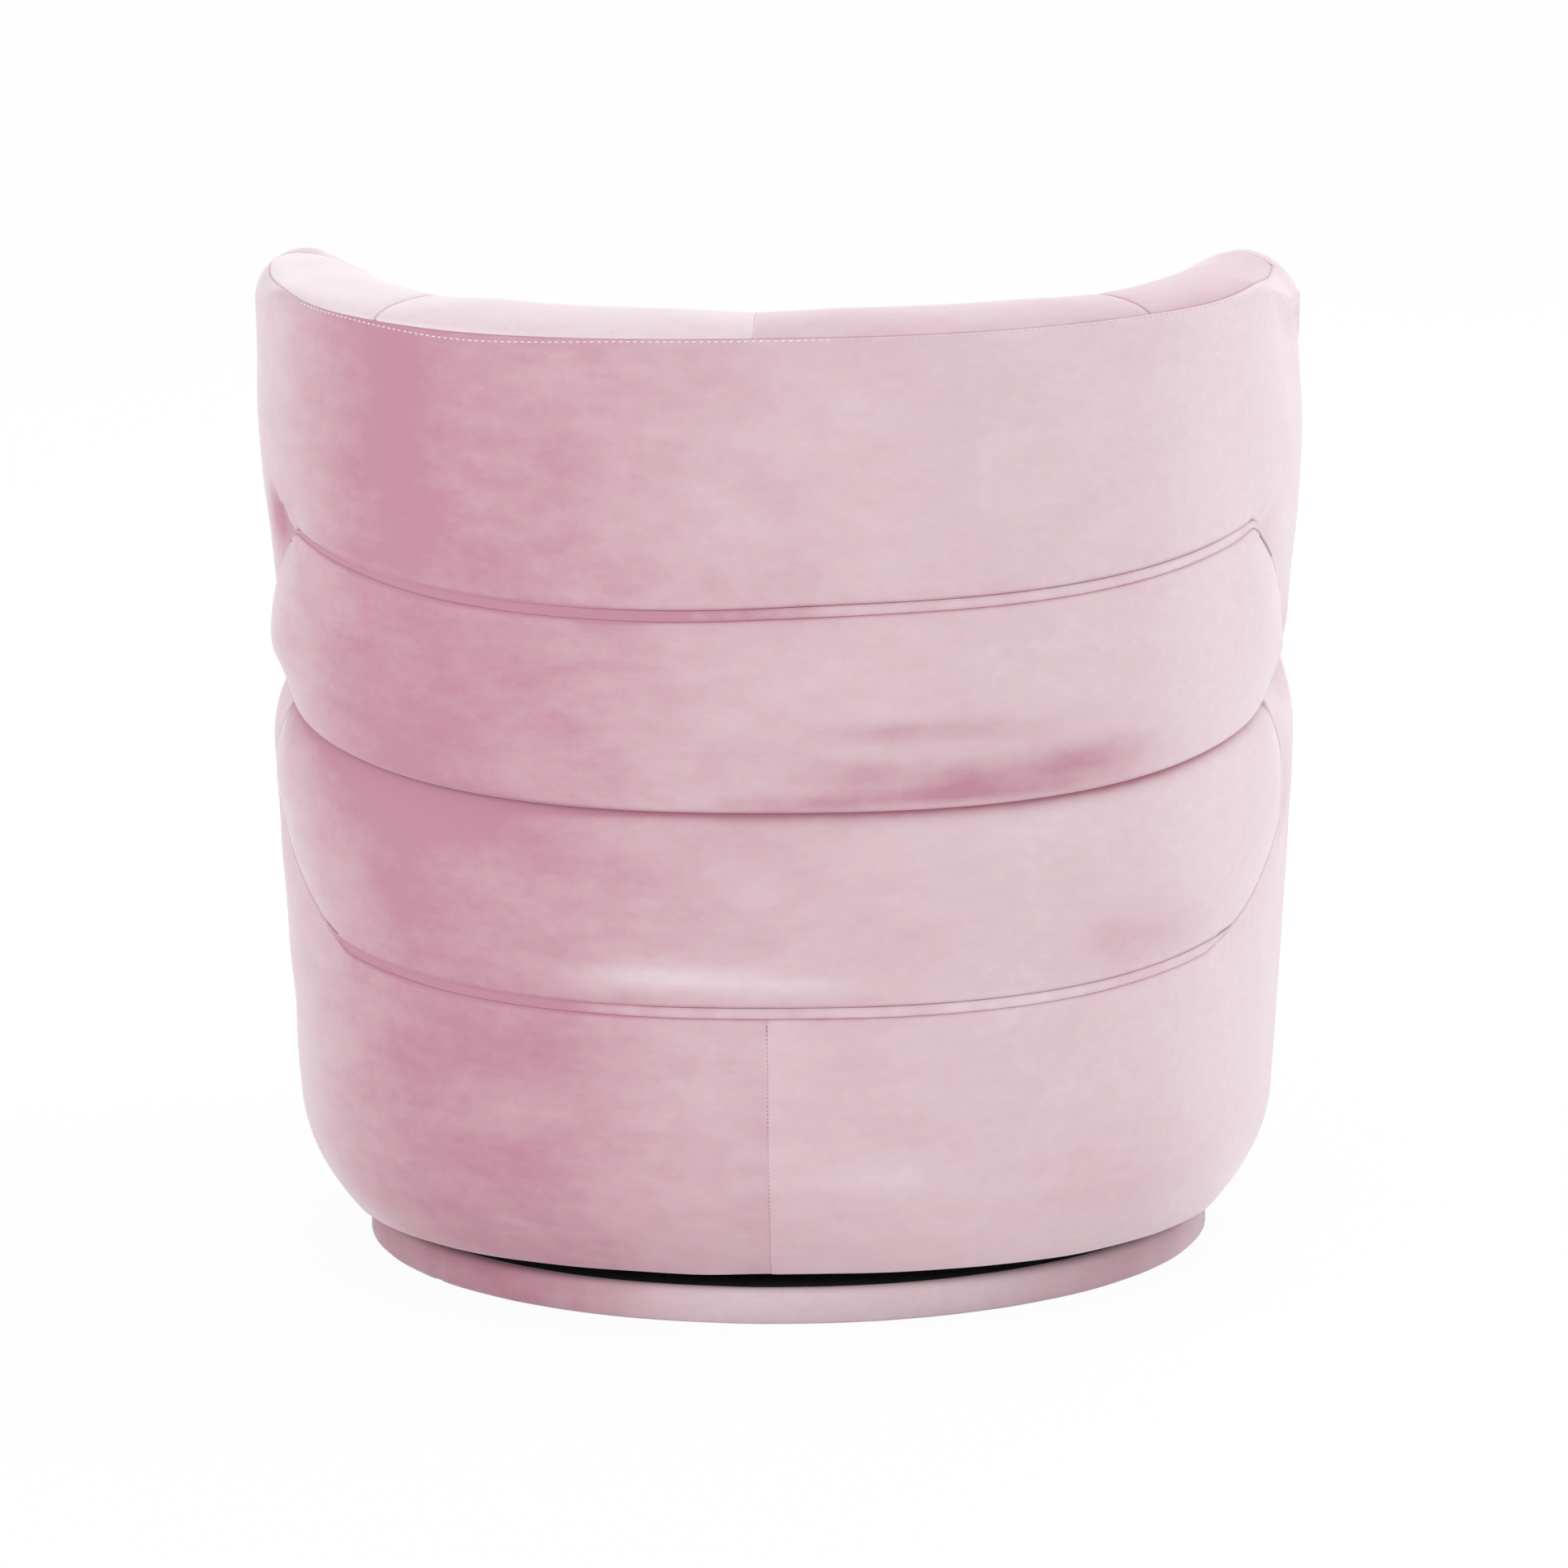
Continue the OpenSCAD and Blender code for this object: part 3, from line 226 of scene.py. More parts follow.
class Wall:
    """The wall of the body: its plan, its height and its section at any angle."""

    # Heights at which it is drawn in and is widest, and the height of its curved foot
    waist_z, wide_z, under_h = 0.430, 0.665, 0.085
    # How far it lies inside its widest outline: over the foot, at the waist and at the hem
    lean_in, waist_in, hem_in = 0.025, 0.0075, 0.061
    # How much further in the hem lies, at the back and at the front
    hem_back_in, hem_front_in = 0.013, 0.022
    # Depth of the rim's crown inside the skin, and the drop from it to the inner side
    crown_in, inner_drop = 0.050, 0.050
    # Drop from the crown to the outer seam, at the back and at the sides
    seam_drop, side_drop = 0.014, 0.045
    # How square the plan is, at the back and at the front
    back_square, front_square = 2.3, 3.0
    # Angles at which the rim starts to fall towards the arms, on the left and on the right
    fall = 84, 80
    # Length of the rounded front of an arm
    nose = 0.034

    def __init__(self, body):
        self.body = body
        self.under_z = body.hem + self.under_h
        widest = body.deck - 0.012
        self.front_plan = body.front + float(self.inset(widest) + self.front_inset(widest))

    def inset(self, z):
        """Distance of the wall inside its widest outline at height z."""
        z = np.asarray(z, float)
        lower = clamp((self.waist_z - z) / (self.waist_z - self.under_z)) ** 1.25
        upper = clamp((self.wide_z - z) / (self.wide_z - self.waist_z)) ** 1.4
        lean = np.where(
            z < self.waist_z, mix(self.waist_in, self.lean_in, lower), self.waist_in * upper
        )
        return lean + (self.hem_in - self.lean_in) * clamp((self.under_z - z) / self.under_h) ** 2.0

    def front_inset(self, z):
        return self.hem_front_in * clamp((self.waist_z - z) / (self.waist_z - self.body.hem)) ** 2

    def radius(self, phi, z, t=0.0):
        """Radius of the plan at angle phi and height z, t inside the skin."""
        turn = np.abs((phi + 180) % 360 - 180)
        low = clamp((z - self.body.hem) / (2 * self.under_h))
        front = mix(self.back_square, self.front_square, low)
        n = mix(self.back_square, front, smooth((turn - 80) / 35))
        behind = self.hem_back_in * clamp((self.wide_z - z) / (self.wide_z - self.body.hem))
        along = np.where(
            turn > 90, self.front_plan - self.front_inset(z), self.body.back - behind
        )
        inset = self.inset(z) + t
        angle = np.radians(turn)
        return (
            np.abs(np.sin(angle) / (self.body.half_width - inset)) ** n
            + np.abs(np.cos(angle) / (along - inset)) ** n
        ) ** (-1 / n)

    def crown(self, phi):
        """Height of the top of the rim."""
        fall = sided(phi, *self.fall)
        x = clamp((np.abs(phi) - fall) / (ARM_END - fall))
        return self.body.rim - (self.body.rim - self.body.arm) * (2.4 * x**2 - 1.4 * x**3)

    def shoulder(self, phi):
        """0 along the rim of the back, and 1 along the arms."""
        return smooth((np.abs(phi) - 62) / 16)

    def horn(self, phi):
        """1 where the back's rim meets the arms, and 0 elsewhere."""
        return self.shoulder(phi) * smooth((118 - np.abs(phi)) / 20)

    def drop(self, phi):
        """Drop from the crown to the outer seam."""
        side = mix(self.seam_drop, self.side_drop, self.shoulder(phi))
        return side + sided(phi, -0.009, 0.011) * self.horn(phi)

    def top(self, phi):
        """Height of the outer seam, where the section starts to turn over the rim."""
        return self.crown(phi) - self.drop(phi)

    def width(self, phi, z):
        """Thickness of the wall, from the outer skin to the inner face."""
        face = self.body.rim - self.inner_drop
        bulge = np.maximum(0, np.cos(np.radians(np.minimum(np.abs(phi) * 1.15, 90)))) ** 1.2
        low = mix(self.body.rim_width, self.body.lumbar_width, bulge)
        return mix(self.body.rim_width, low, smooth((face - z) / (face - self.body.seat)))

    def section(self, phi, s):
        """Depth inside the skin and height, s along the section from the outer seam."""
        crown, drop = self.crown(phi), self.drop(phi)
        crest = self.crown_in - sided(phi, 0.010, 0) * self.horn(phi)
        a, inside_z = np.pi * s / OVER, crown - self.inner_drop - (s - OVER)
        parts = [s <= 0, s <= OVER / 2, s <= OVER]
        depths = [0 * s, crest * (1 - np.cos(a)), mix(crest, self.body.rim_width, -np.cos(a))]
        depth = np.select(parts, depths, self.width(phi, inside_z))
        drops = [drop - s, drop * (1 - np.sin(a)), self.inner_drop * (1 - np.sin(a))]
        height = np.select(parts, [crown - fallen for fallen in drops], inside_z)
        lean = sided(phi, 0.26, 0.15) * smooth((np.abs(phi) - 74) / 12) * self.horn(phi)
        return depth, height - lean * clamp((depth - 0.045) / 0.03) * 0.03 * (s > OVER / 2)

    def draw(self, phi, z, banded=False):
        """How far the cover is drawn in at the sides: round the waist and under the rim."""
        notch, p = settings().bands.notch, np.abs(phi)
        deep = 0.0085 * smooth((0.660 - z) / sided(phi, 0.16, 0.20))
        if banded:
            deep = sided(phi, 0.0075 * smooth(1 - (z - notch) / 0.045), deep)
        waist = deep * smooth(1 - (notch - z) / 0.055) + 0.0035 * bell(z, 0.448, 0.016)
        waist = waist * smooth((p - 56) / 26) * smooth((ARM_END - 4 - p) / 24)
        rim = 0.0085 * bell(z, 0.735, 0.035) + 0.0040 * bell(z, 0.68, 0.045)
        return waist + sided(phi, 0, rim) * smooth((p - 58) / 18)

    def place(self, phi, z, t=0.0):
        r, angle = self.radius(phi, z, t), np.radians(phi)
        return np.stack([r * np.sin(angle), r * np.cos(angle), z + 0 * r], -1)

    def on_wall(self, a, z):
        """Place on the outside: a round the body and z up."""
        phi = a / DEGREE
        return self.place(phi, z, self.draw(phi, z, banded=True))

    def on_section(self, a, s):
        """Place on the section that runs up the outside, over the rim and down inside."""
        phi = a / DEGREE
        depth, height = self.section(phi, s)
        outside = smooth((0.020 - s) / 0.020)
        return self.place(phi, height, depth + self.draw(phi, height) * outside)

    def nose_turn(self):
        """Angle that the rounded front of an arm takes."""
        radius = float(self.radius(ARM_END, self.body.arm, self.body.rim_width / 2))
        return math.degrees(math.asin(self.nose / radius))


# ---- Seams ----


def seam_over(phi):
    """Where the seam of the outer cover lies on the section, along the rim."""
    return eased(phi, *RIM_SEAM, 4)


def crossing(side, out=0.0):
    """The seam where it turns back over the rim, from the outside in, moved by out."""
    over, angle = CROSSING[side]
    s = np.linspace(over[0], OVER, 40)
    return np.stack([side * (eased(s, over, angle, 0.006) + out / DEGREE), s], -1)


def collar_edge(phi):
    """Height of the collar's lower edge: over the bands, and down along their ends."""
    b, p = settings().bands, np.abs(phi)
    peak = b.collar + 0.028
    tilt = -0.0033 * np.tanh(phi / 11) * smooth((90 - p) / 40)
    rising = b.collar + (peak - b.collar) * (p / CORNER) ** 2.8
    falling = mix(peak, b.notch, (p - CORNER) / (BAND_END - CORNER))
    k = clamp(0.5 + (falling - rising) / 0.016)
    edge = mix(falling, rising, k) - 0.008 * k * (1 - k)
    return tilt + np.where(p < BAND_END, edge, b.notch)


def middle_edge(phi):
    """Height of the edge of the upper band over the lower one."""
    b = settings().bands
    return mix(b.middle, b.notch, clamp(np.abs(phi) / 72) ** sided(phi, 2.7, 3.0))


def skirt_edge(phi):
    """Height of the skirt's upper edge, up to the end of the lower band."""
    p = np.minimum(np.abs(phi), 76)
    rise = 0.034 * (p / 67) ** 3 + 0.050 * clamp((p - 54) / 23) ** 1.2
    return settings().bands.skirt + rise + np.sign(phi) * 0.004 * smooth((p - 54) / 10)


def leaf_end(side, out=0.0):
    """The end of the lower band, from its lower edge up, out beyond the seam."""
    low, high = float(skirt_edge(side * LEAF[side])), settings().bands.notch - 0.002 + out
    start, turn, tip = low + 0.020, np.radians(np.linspace(0, 90, 24)), 68.5
    over = tip + (LEAF[side] - tip) * np.cos(turn) ** 2.6 + out / DEGREE
    curve = np.stack([side * over, start + (high - start) * np.sin(turn)], -1)
    return np.vstack([[[curve[0, 0], low]], curve])


def along(f, start, stop, count=90):
    """Points (phi, f(phi)) of an edge from one angle to another."""
    phi = np.linspace(start, stop, count)
    return np.stack([phi, f(phi) + 0 * phi], -1)


def straight(*points):
    """A line through a few points (phi, height or s)."""
    return np.array(points, float)


def framed(corners, edges):
    """The straight sides from corner to corner, each with its edge."""
    ends = zip(corners, corners[1:] + corners[:1])
    return [(straight(*pair), edge) for pair, edge in zip(ends, edges)]


def upper_strip_width(phi):
    """Width of the upper strip, which narrows round the corners of the upper band."""
    p = np.abs(phi)
    left = np.interp(p, (36, 53, 60, 64), (1, 0.6, 0.4, 0))
    right = np.interp(p, (57, 62, 68), (1, 0.6, 0))
    return settings().bands.strip * sided(phi, left, right)


def lower_strip_width(phi):
    """Width of the lower strip, which runs out where the lower band turns up."""
    return settings().bands.strip * np.interp(np.abs(phi), (54, 60), (1, 0))


# How a cover ends at a seam: it slopes in by dive over reach, turns in by nip at the seam, hangs over it
# by fold, is gathered by pucker, has a ridge of height bead beside it, and its colour is darkened towards
# rose there by deep, over wide: painted shade in the seam.
Edge = namedtuple(
    "Edge", "dive reach nip fold pucker bead deep wide", defaults=(0, 0, 0, 0, 0, 0, 0, 0.0016)
)
# Each edge's deep is painted shade along its seam
RIM_EDGE = Edge(dive=0.0005, reach=0.012, nip=0.0004, pucker=0.0002, deep=0.20)
STRIP_EDGE = Edge(dive=0.0018, reach=0.018, nip=0.0005, pucker=0.0004, deep=0.60)
BAND_EDGE = Edge(dive=0.0018, reach=0.020, nip=0.0004, pucker=0.0006, bead=0.0003, deep=0.50)
WAIST_EDGE = Edge(dive=0.0050, reach=0.040, nip=0.0026, pucker=0.0002)
POCKET_EDGE = Edge(dive=0.0040, reach=0.040, nip=0.0012, pucker=0.0002, bead=0.0006, deep=0.2)
PLAIN_EDGE = Edge(nip=0.0015)
END_EDGE = Edge(nip=0.0016)


# ---- Meshes ----


def waves(x, seed, longest, shortest, count=7):
    """An uneven wave along x, from -1 to 1, the same each run."""
    draw = np.random.default_rng(seed)
    total = 0 * x
    for k in range(count):
        wavelength = longest * (shortest / longest) ** (k / (count - 1))
        total = total + np.sin(2 * np.pi * (x / wavelength + draw.random()))
    return total / count**0.5 / 1.4


def resample(points, step):
    """The same line with points about step apart, without its last point."""
    gaps = np.linalg.norm(np.diff(points, axis=0), axis=1)
    run = np.concatenate([[0], np.cumsum(gaps)])
    at = np.linspace(0, run[-1], max(2, int(round(run[-1] / step))) + 1)[:-1]
    return np.stack([np.interp(at, run, points[:, k]) for k in range(2)], -1)


def distance(points, line):
    """Distance of each point to a line, and the direction to its nearest point."""
    start, run = line[:-1], np.diff(line, axis=0)
    square = np.maximum((run**2).sum(1), 1e-18)
    far, way = np.empty(len(points)), np.empty_like(points)
    for first in range(0, len(points), 3000):
        p = points[first : first + 3000, None]
        k = clamp(((p - start) * run).sum(2) / square)
        gap = start + k[..., None] * run - p
        size = np.linalg.norm(gap, axis=2)
        best = size.argmin(1)
        rows = np.arange(len(best))
        far[first : first + 3000] = size[rows, best]
        way[first : first + 3000] = gap[rows, best] / np.maximum(size[rows, best], 1e-9)[:, None]
    return far, way


def inside(points, border):
    """Which points lie inside a closed border."""
    x, y = points[:, 0, None], points[:, 1, None]
    x0, y0 = border.T
    x1, y1 = np.roll(border, -1, axis=0).T
    rise = np.where(y1 == y0, 1e-12, y1 - y0)
    crosses = ((y0 > y) != (y1 > y)) & (x < x0 + (x1 - x0) * (y - y0) / rise)
    return crosses.sum(1) % 2 == 1


def filled(border, rows, step, grid):
    """Points and triangles inside a border: rows that follow it, then an even grid."""
    following = np.roll(border, -1, axis=0)
    if (border[:, 0] * following[:, 1] - border[:, 1] * following[:, 0]).sum() < 0:
        border = border[::-1]
    closed = np.vstack([border, border[:1]])
    run = np.roll(border, -1, axis=0) - np.roll(border, 1, axis=0)
    inward = np.stack([-run[:, 1], run[:, 0]], -1) / np.linalg.norm(run, axis=1)[:, None]
    points = [border]
    for row in rows:
        spot = border + inward * row
        spot = spot[inside(spot, border)]
        points.append(spot[distance(spot, closed)[0] > 0.97 * row])
    low, high = border.min(0), border.max(0)
    x, y = np.meshgrid(
        np.arange(low[0], high[0], grid), np.arange(low[1], high[1], grid * 0.866)
    )
    x = x + np.where(np.arange(len(x))[:, None] % 2, grid / 2, 0)
    spot = np.stack([x.ravel(), y.ravel()], -1)
    spot = spot[inside(spot, border)]
    points.append(spot[distance(spot, closed)[0] > rows[-1] + 0.6 * step])
    points = np.vstack(points)
    count = len(border)
    edges = [(i, (i + 1) % count) for i in range(count)]
    scaled = [Vector(p) for p in points * 1000]
    spots, _, faces, *_ = geometry.delaunay_2d_cdt(scaled, edges, [], 1, 1e-3)
    return np.array([tuple(p) for p in spots]) / 1000, np.array(faces)


def new_object(name, points, faces, material, soft=True):
    """A mesh object whose points are in the frame."""
    mesh = bpy.data.meshes.new(name)
    mesh.from_pydata([tuple(p) for p in points], [], [tuple(int(i) for i in f) for f in faces])
    mesh.validate()
    mesh.materials.append(material)
    piece = bpy.data.objects.new(name, mesh)
    bpy.context.scene.collection.objects.link(piece)
    if soft:
        mesh.shade_smooth()
    return piece


def point_value(piece, name, values):
    attribute = piece.data.attributes.new(name, "FLOAT", "POINT")
    attribute.data.foreach_set("value", np.asarray(values, np.float32))


def normals_of(place, a, b):
    """Outward direction of the surface place(a, b)."""
    e = 2e-4
    n = np.cross(place(a, b + e) - place(a, b - e), place(a + e, b) - place(a - e, b))
    return n / np.maximum(np.linalg.norm(n, axis=1), 1e-12)[:, None]


def lifted(place, a, b, out):
    """Points of the surface place(a, b), moved out along its normal."""
    return place(a, b) + normals_of(place, a, b) * np.asarray(out)[..., None]


def edge_lift(edge, d):
    """How far a cover lies in at the distance d from a seam."""
    slope = edge.dive * clamp(1 - d / max(edge.reach, 1e-6)) ** 2
    k = clamp(1 - d / max(1.3 * edge.nip, 1e-6))
    ridge = edge.bead * bell(d, 0.0026, 0.0013)
    return slope + edge.nip * (1 - np.sqrt(1 - k * k)) - ridge


# Distances from a seam at which a cover's mesh has rows of points
ROWS = (0.0007, 0.0018, 0.0033, 0.0055, 0.008, 0.011, 0.015, 0.020)


class Cover:
    """One sewn cover over its padding. sides is a list of (points, Edge), where the points
    are (phi, height or s); together they run once round the cover."""

    def __init__(
        self, name, place, sides, seed, swell=0.0, swell_reach=0.05, depth=0.018,
        rows=ROWS, step=0.0045, grid=0.008, dents=None,
    ):
        self.name, self.place, self.seed, self.depth = name, place, seed, depth
        self.swell, self.swell_reach, self.dents = swell, swell_reach, dents
        self.sides = [(points * (DEGREE, 1), edge) for points, edge in sides]
        border = np.vstack([resample(points, step) for points, _ in self.sides])
        self.flat, self.faces = filled(border, rows, step, grid)

    def out(self, flat):
        """How far out the cover lies at flat places, and how far it folds over its seams."""
        a, b = flat.T
        inward, nearest = 0 * a, np.full(len(a), 1.0)
        shift = np.zeros_like(flat)
        gather, self.deep = 0 * a, 0 * a
        for number, (points, edge) in enumerate(self.sides):
            d, way = distance(flat, points)
            inward = np.maximum(inward, edge_lift(edge, d))
            # Painted shade: the colour darkens towards rose beside each seam
            self.deep = np.maximum(self.deep, edge.deep * bell(d, 0, edge.wide))
            if edge.dive:
                nearest = np.minimum(nearest, d)
            if edge.fold:
                k = clamp(d / (2.2 * edge.nip + 1e-6))
                shift += way * (edge.fold * np.sin(np.pi * k**0.6) * (d > 1e-5))[:, None]
            if edge.pucker:
                run = a + 0.4 * b
                fine = waves(run + 0.15 * d, self.seed + number, 0.034, 0.009)
                fade = np.exp(-d / 0.011) * clamp(d / 0.003)
                patch = clamp(0.5 + 0.9 * waves(run, self.seed + 31 + number, 0.5, 0.09, 4))
                gather += edge.pucker * fine * fade * patch
        soft = waves(a + 0.3 * b, self.seed + 77, 0.41, 0.11, 4)
        soft = soft * waves(b - 0.2 * a, self.seed + 78, 0.23, 0.08, 4)
        loose = 0.0010 * soft * clamp((nearest - 0.01) / 0.03)
        lift = self.swell * smooth(nearest / self.swell_reach) - inward + gather + loose
        if self.dents:
            lift = lift + self.dents(a / DEGREE, b)
        return lift, shift

    def build_as(self, node, nap_and_light):
        """Makes the cover in place of its CAD node."""
        lift, shift = self.out(self.flat)
        a, b = (self.flat + shift).T
        outer = lifted(self.place, a, b, lift)
        inner = lifted(self.place, *self.flat.T, np.full(len(a), -self.depth))
        count = len(outer)
        edges = np.vstack([self.faces[:, [0, 1]], self.faces[:, [1, 2]], self.faces[:, [2, 0]]])
        keys = {tuple(e) for e in edges.tolist()}
        rim = [(i, j) for i, j in keys if (j, i) not in keys]
        faces = self.faces[:, ::-1].tolist()
        faces += (self.faces + count).tolist()
        faces += [(i, j, j + count, i + count) for i, j in rim]
        piece = new_object(self.name, np.vstack([outer, inner]), faces, finish("velvet"))
        # The pile tone with the painted shade beside the seams added
        shade = nap_and_light(outer) + self.deep
        point_value(piece, "nap_and_light", np.concatenate([shade, shade]))
        return finish_piece(piece, SEAT, node)


def finish_piece(piece, body, *nodes, slot="velvet", padded=True, fill=0.9):
    """Puts a piece on its body, hides the CAD nodes that it stands for, and smooths it."""
    select_only(piece)
    bpy.ops.object.shade_smooth_by_angle(angle=math.radians(70))
    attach(piece, body)
    if nodes:
        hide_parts(*nodes)
    return piece


def select_only(piece):
    bpy.ops.object.select_all(action="DESELECT")
    bpy.context.view_layer.objects.active = piece
    piece.select_set(True)


def stitch_mesh():
    """One stitch along X: a thread that dips into the cloth at both ends."""
    bpy.ops.object.select_all(action="DESELECT")
    bpy.ops.mesh.primitive_cylinder_add(vertices=6, radius=0.5, depth=1, rotation=(0, math.pi / 2, 0))
    bpy.ops.object.transform_apply(location=False, rotation=True, scale=False)
    stitch = bpy.context.object
    bpy.ops.object.mode_set(mode="EDIT")
    bpy.ops.mesh.select_all(action="SELECT")
    bpy.ops.mesh.subdivide(number_cuts=1)
    bpy.ops.object.mode_set(mode="OBJECT")
    points = np.array([v.co for v in stitch.data.vertices])
    faces = [list(p.vertices) for p in stitch.data.polygons]
    bpy.data.objects.remove(stitch)
    ends = np.abs(points[:, 0]) * 2
    points[:, 1:] *= (1 - 0.45 * ends**2)[:, None]
    points[:, 2] -= 0.55 * ends**2
    return points, faces


def between(x, run, values):
    """The row of values at x, where run is how far along a line each row stands."""
    return np.array([np.interp(x, run, column) for column in values.T])


def sew(name, place, line, lift, thread, size=1.0):
    """A row of stitches along a line of (phi, b) points, on a cover that lies out by lift."""
    b = settings().bands
    long, pitch = b.stitch * size, b.pitch * size
    shape, shape_faces = stitch_mesh()
    path = resample(line * (DEGREE, 1), 0.001)
    spots, normals = lifted(place, *path.T, np.full(len(path), lift)), normals_of(place, *path.T)
    run = np.concatenate([[0], np.cumsum(np.linalg.norm(np.diff(spots, axis=0), axis=1))])
    points, faces = [], []
    for at in np.arange(pitch / 2, run[-1], pitch):
        start, stop = (between(x, run, spots) for x in (at - long / 2, at + long / 2))
        x = unit(stop - start)
        y = unit(np.cross(between(at, run, normals), x))
        turned = shape * (long, 0.0012, 0.0011) @ np.stack([x, y, np.cross(x, y)])
        faces += [[i + len(points) * len(shape) for i in f] for f in shape_faces]
        points.append((start + stop) / 2 + turned)
    piece = new_object(name, np.vstack(points), faces, finish(thread))
    return finish_piece(piece, SEAT, padded=False)


# ---- Finishes ----


class Value:
    """An output of a node that takes part in sums, which adds their Math nodes."""

    def __init__(self, nodes, socket):
        self.nodes, self.socket = nodes, socket

    def maths(self, operation, first, second):
        return self.nodes.node("ShaderNodeMath", {"operation": operation}, {0: first, 1: second})

    def __add__(self, other):
        return self.maths("ADD", self, other)

    def __sub__(self, other):
        return self.maths("SUBTRACT", self, other)

    def __rsub__(self, other):
        return self.maths("SUBTRACT", other, self)

    def __mul__(self, other):
        return self.maths("MULTIPLY", self, other)

    __radd__ = __add__
    __rmul__ = __mul__


class Nodes:
    """A tree of nodes."""

    def __init__(self, tree):
        self.tree = tree

    def node(self, kind, traits=None, inputs=None, output=0):
        """A node with its traits, such as an operation, and the values of its sockets."""
        made = self.tree.nodes.new(kind)
        for key, value in (traits or {}).items():
            setattr(made, key, value)
        for key, value in (inputs or {}).items():
            self.feed(made.inputs[key], value)
        return Value(self, made.outputs[output])

    def feed(self, socket, value):
        if isinstance(value, Value):
            self.tree.links.new(value.socket, socket)
        elif hasattr(socket.default_value, "__len__") and len(socket.default_value) == 4:
            socket.default_value = (*value, 1)
        else:
            socket.default_value = value

    def limit(self, value, more=0.0):
        """A sum kept between 0 and 1."""
        return self.node("ShaderNodeMath", {"operation": "ADD", "use_clamp": True}, {0: value, 1: more})

    def seen(self):
        """1 where the background shows: to the camera, and in metal and glass."""
        camera, glossy, through = (
            self.node("ShaderNodeLightPath", output=f"Is {ray} Ray")
            for ray in ("Camera", "Glossy", "Transmission")
        )
        return self.limit(camera + glossy, through)

    def show(self, output, plain, white, amount):
        """Shows white in place of the plain shader, by an amount from 0 to 1."""
        mixed = self.node("ShaderNodeMixShader", {}, {0: amount, 1: plain, 2: white})
        self.feed(self.tree.nodes[output].inputs["Surface"], mixed)


class Recipe(Nodes):
    """A finish: the nodes that feed one Principled shader."""

    def __init__(self, name):
        self.material = bpy.data.materials.new(name)
        self.material.use_nodes = True
        super().__init__(self.material.node_tree)
        self.shader = self.tree.nodes["Principled BSDF"]

    def set(self, **sockets):
        for name, value in sockets.items():
            self.feed(self.shader.inputs[name.replace("_", " ")], value)

    def at(self, stretch=(1, 1, 1)):
        """Object coordinates, stretched along the axes."""
        spot = self.node("ShaderNodeTexCoord", output="Object")
        return self.node("ShaderNodeMapping", {}, {"Vector": spot, "Scale": stretch})

    def noise(self, scale, detail=2.0, stretch=(1, 1, 1), roughness=0.5):
        return self.node(
            "ShaderNodeTexNoise",
            {},
            {"Vector": self.at(stretch), "Scale": scale, "Detail": detail, "Roughness": roughness},
        )

    def contrast(self, value, low, high):
        """The value spread from 0 at low to 1 at high, with soft ends."""
        return self.node(
            "ShaderNodeMapRange",
            {"interpolation_type": "SMOOTHSTEP"},
            {"Value": value, "From Min": low, "From Max": high},
        )

    def ramp(self, value, colours, places):
        """A colour from a row of stops."""
        made = self.node("ShaderNodeValToRGB", {}, {"Fac": value})
        stops = made.socket.node.color_ramp.elements
        for number, (shade, place) in enumerate(zip(colours, places)):
            stop = stops[number] if number < 2 else stops.new(place)
            stop.position, stop.color = place, (*shade, 1)
        return made

    def blend(self, first, second, factor):
        """A colour between two."""
        return self.node(
            "ShaderNodeMix", {"data_type": "RGBA"}, {0: factor, 6: first, 7: second}, output=2
        )

    def bump(self, height, distance, strength=1.0):
        made = self.node(
            "ShaderNodeBump", {}, {"Height": height, "Distance": distance, "Strength": strength}
        )
        self.set(Normal=made)


def paint_velvet(recipe):
    """Short pile: pale where it is brushed along, and rose where it stands up, with the painted shade,
    painted sheen and painted highlight that the attribute also carries.
    """
    c = settings().colours
    nap_and_light = recipe.node("ShaderNodeAttribute", {"attribute_name": "nap_and_light"}, output="Fac")
    cloud = recipe.noise(10, 4, (1, 1, 1.5), 0.6)
    streak = recipe.noise(20, 4, (1, 1, 3.5), 0.6)
    mottle = recipe.noise(85, 4, (1, 1, 1.3), 0.7)
    weave = recipe.noise(190, 2, (1, 1, 5))
    ruffled = recipe.limit(nap_and_light * (1 - nap_and_light) * 1.4 + nap_and_light * 0.28 + 0.22)
    stand = nap_and_light + ((cloud - 0.5) * 1.2 + (streak - 0.5) * 0.65) * ruffled
    stand = stand + (mottle - 0.5) * 0.30 + (weave - 0.5) * 0.10
    # The stops stand at -0.5, 0 and 1: the painted highlight, pale and rose
    shade = recipe.ramp((stand + 0.5) * 0.6667, (c.painted_highlight, c.pale, c.rose), (0, 0.333, 1))
    pile = recipe.noise(1100, 2)
    recipe.bump(pile * 0.15 + mottle * 0.6 + streak * 0.3, 0.0010, 0.3)
    recipe.set(Base_Color=shade, Roughness=0.95, Specular_IOR_Level=0.1)
    recipe.set(Sheen_Weight=c.sheen, Sheen_Roughness=0.38, Sheen_Tint=(1.0, 0.965, 0.98))


def paint_twist(recipe, tone):
    """Twisted thread."""
    twist = recipe.noise(1500, 1)
    recipe.set(Base_Color=recipe.blend(tone, [0.85 * x for x in tone], twist), Roughness=0.6)
    recipe.bump(twist, 0.0003)


def paint_thread(recipe):
    paint_twist(recipe, settings().colours.thread)


def paint_pale_thread(recipe):
    paint_twist(recipe, settings().colours.pale_thread)


def paint_seam_thread(recipe):
    paint_twist(recipe, settings().colours.seam_thread)


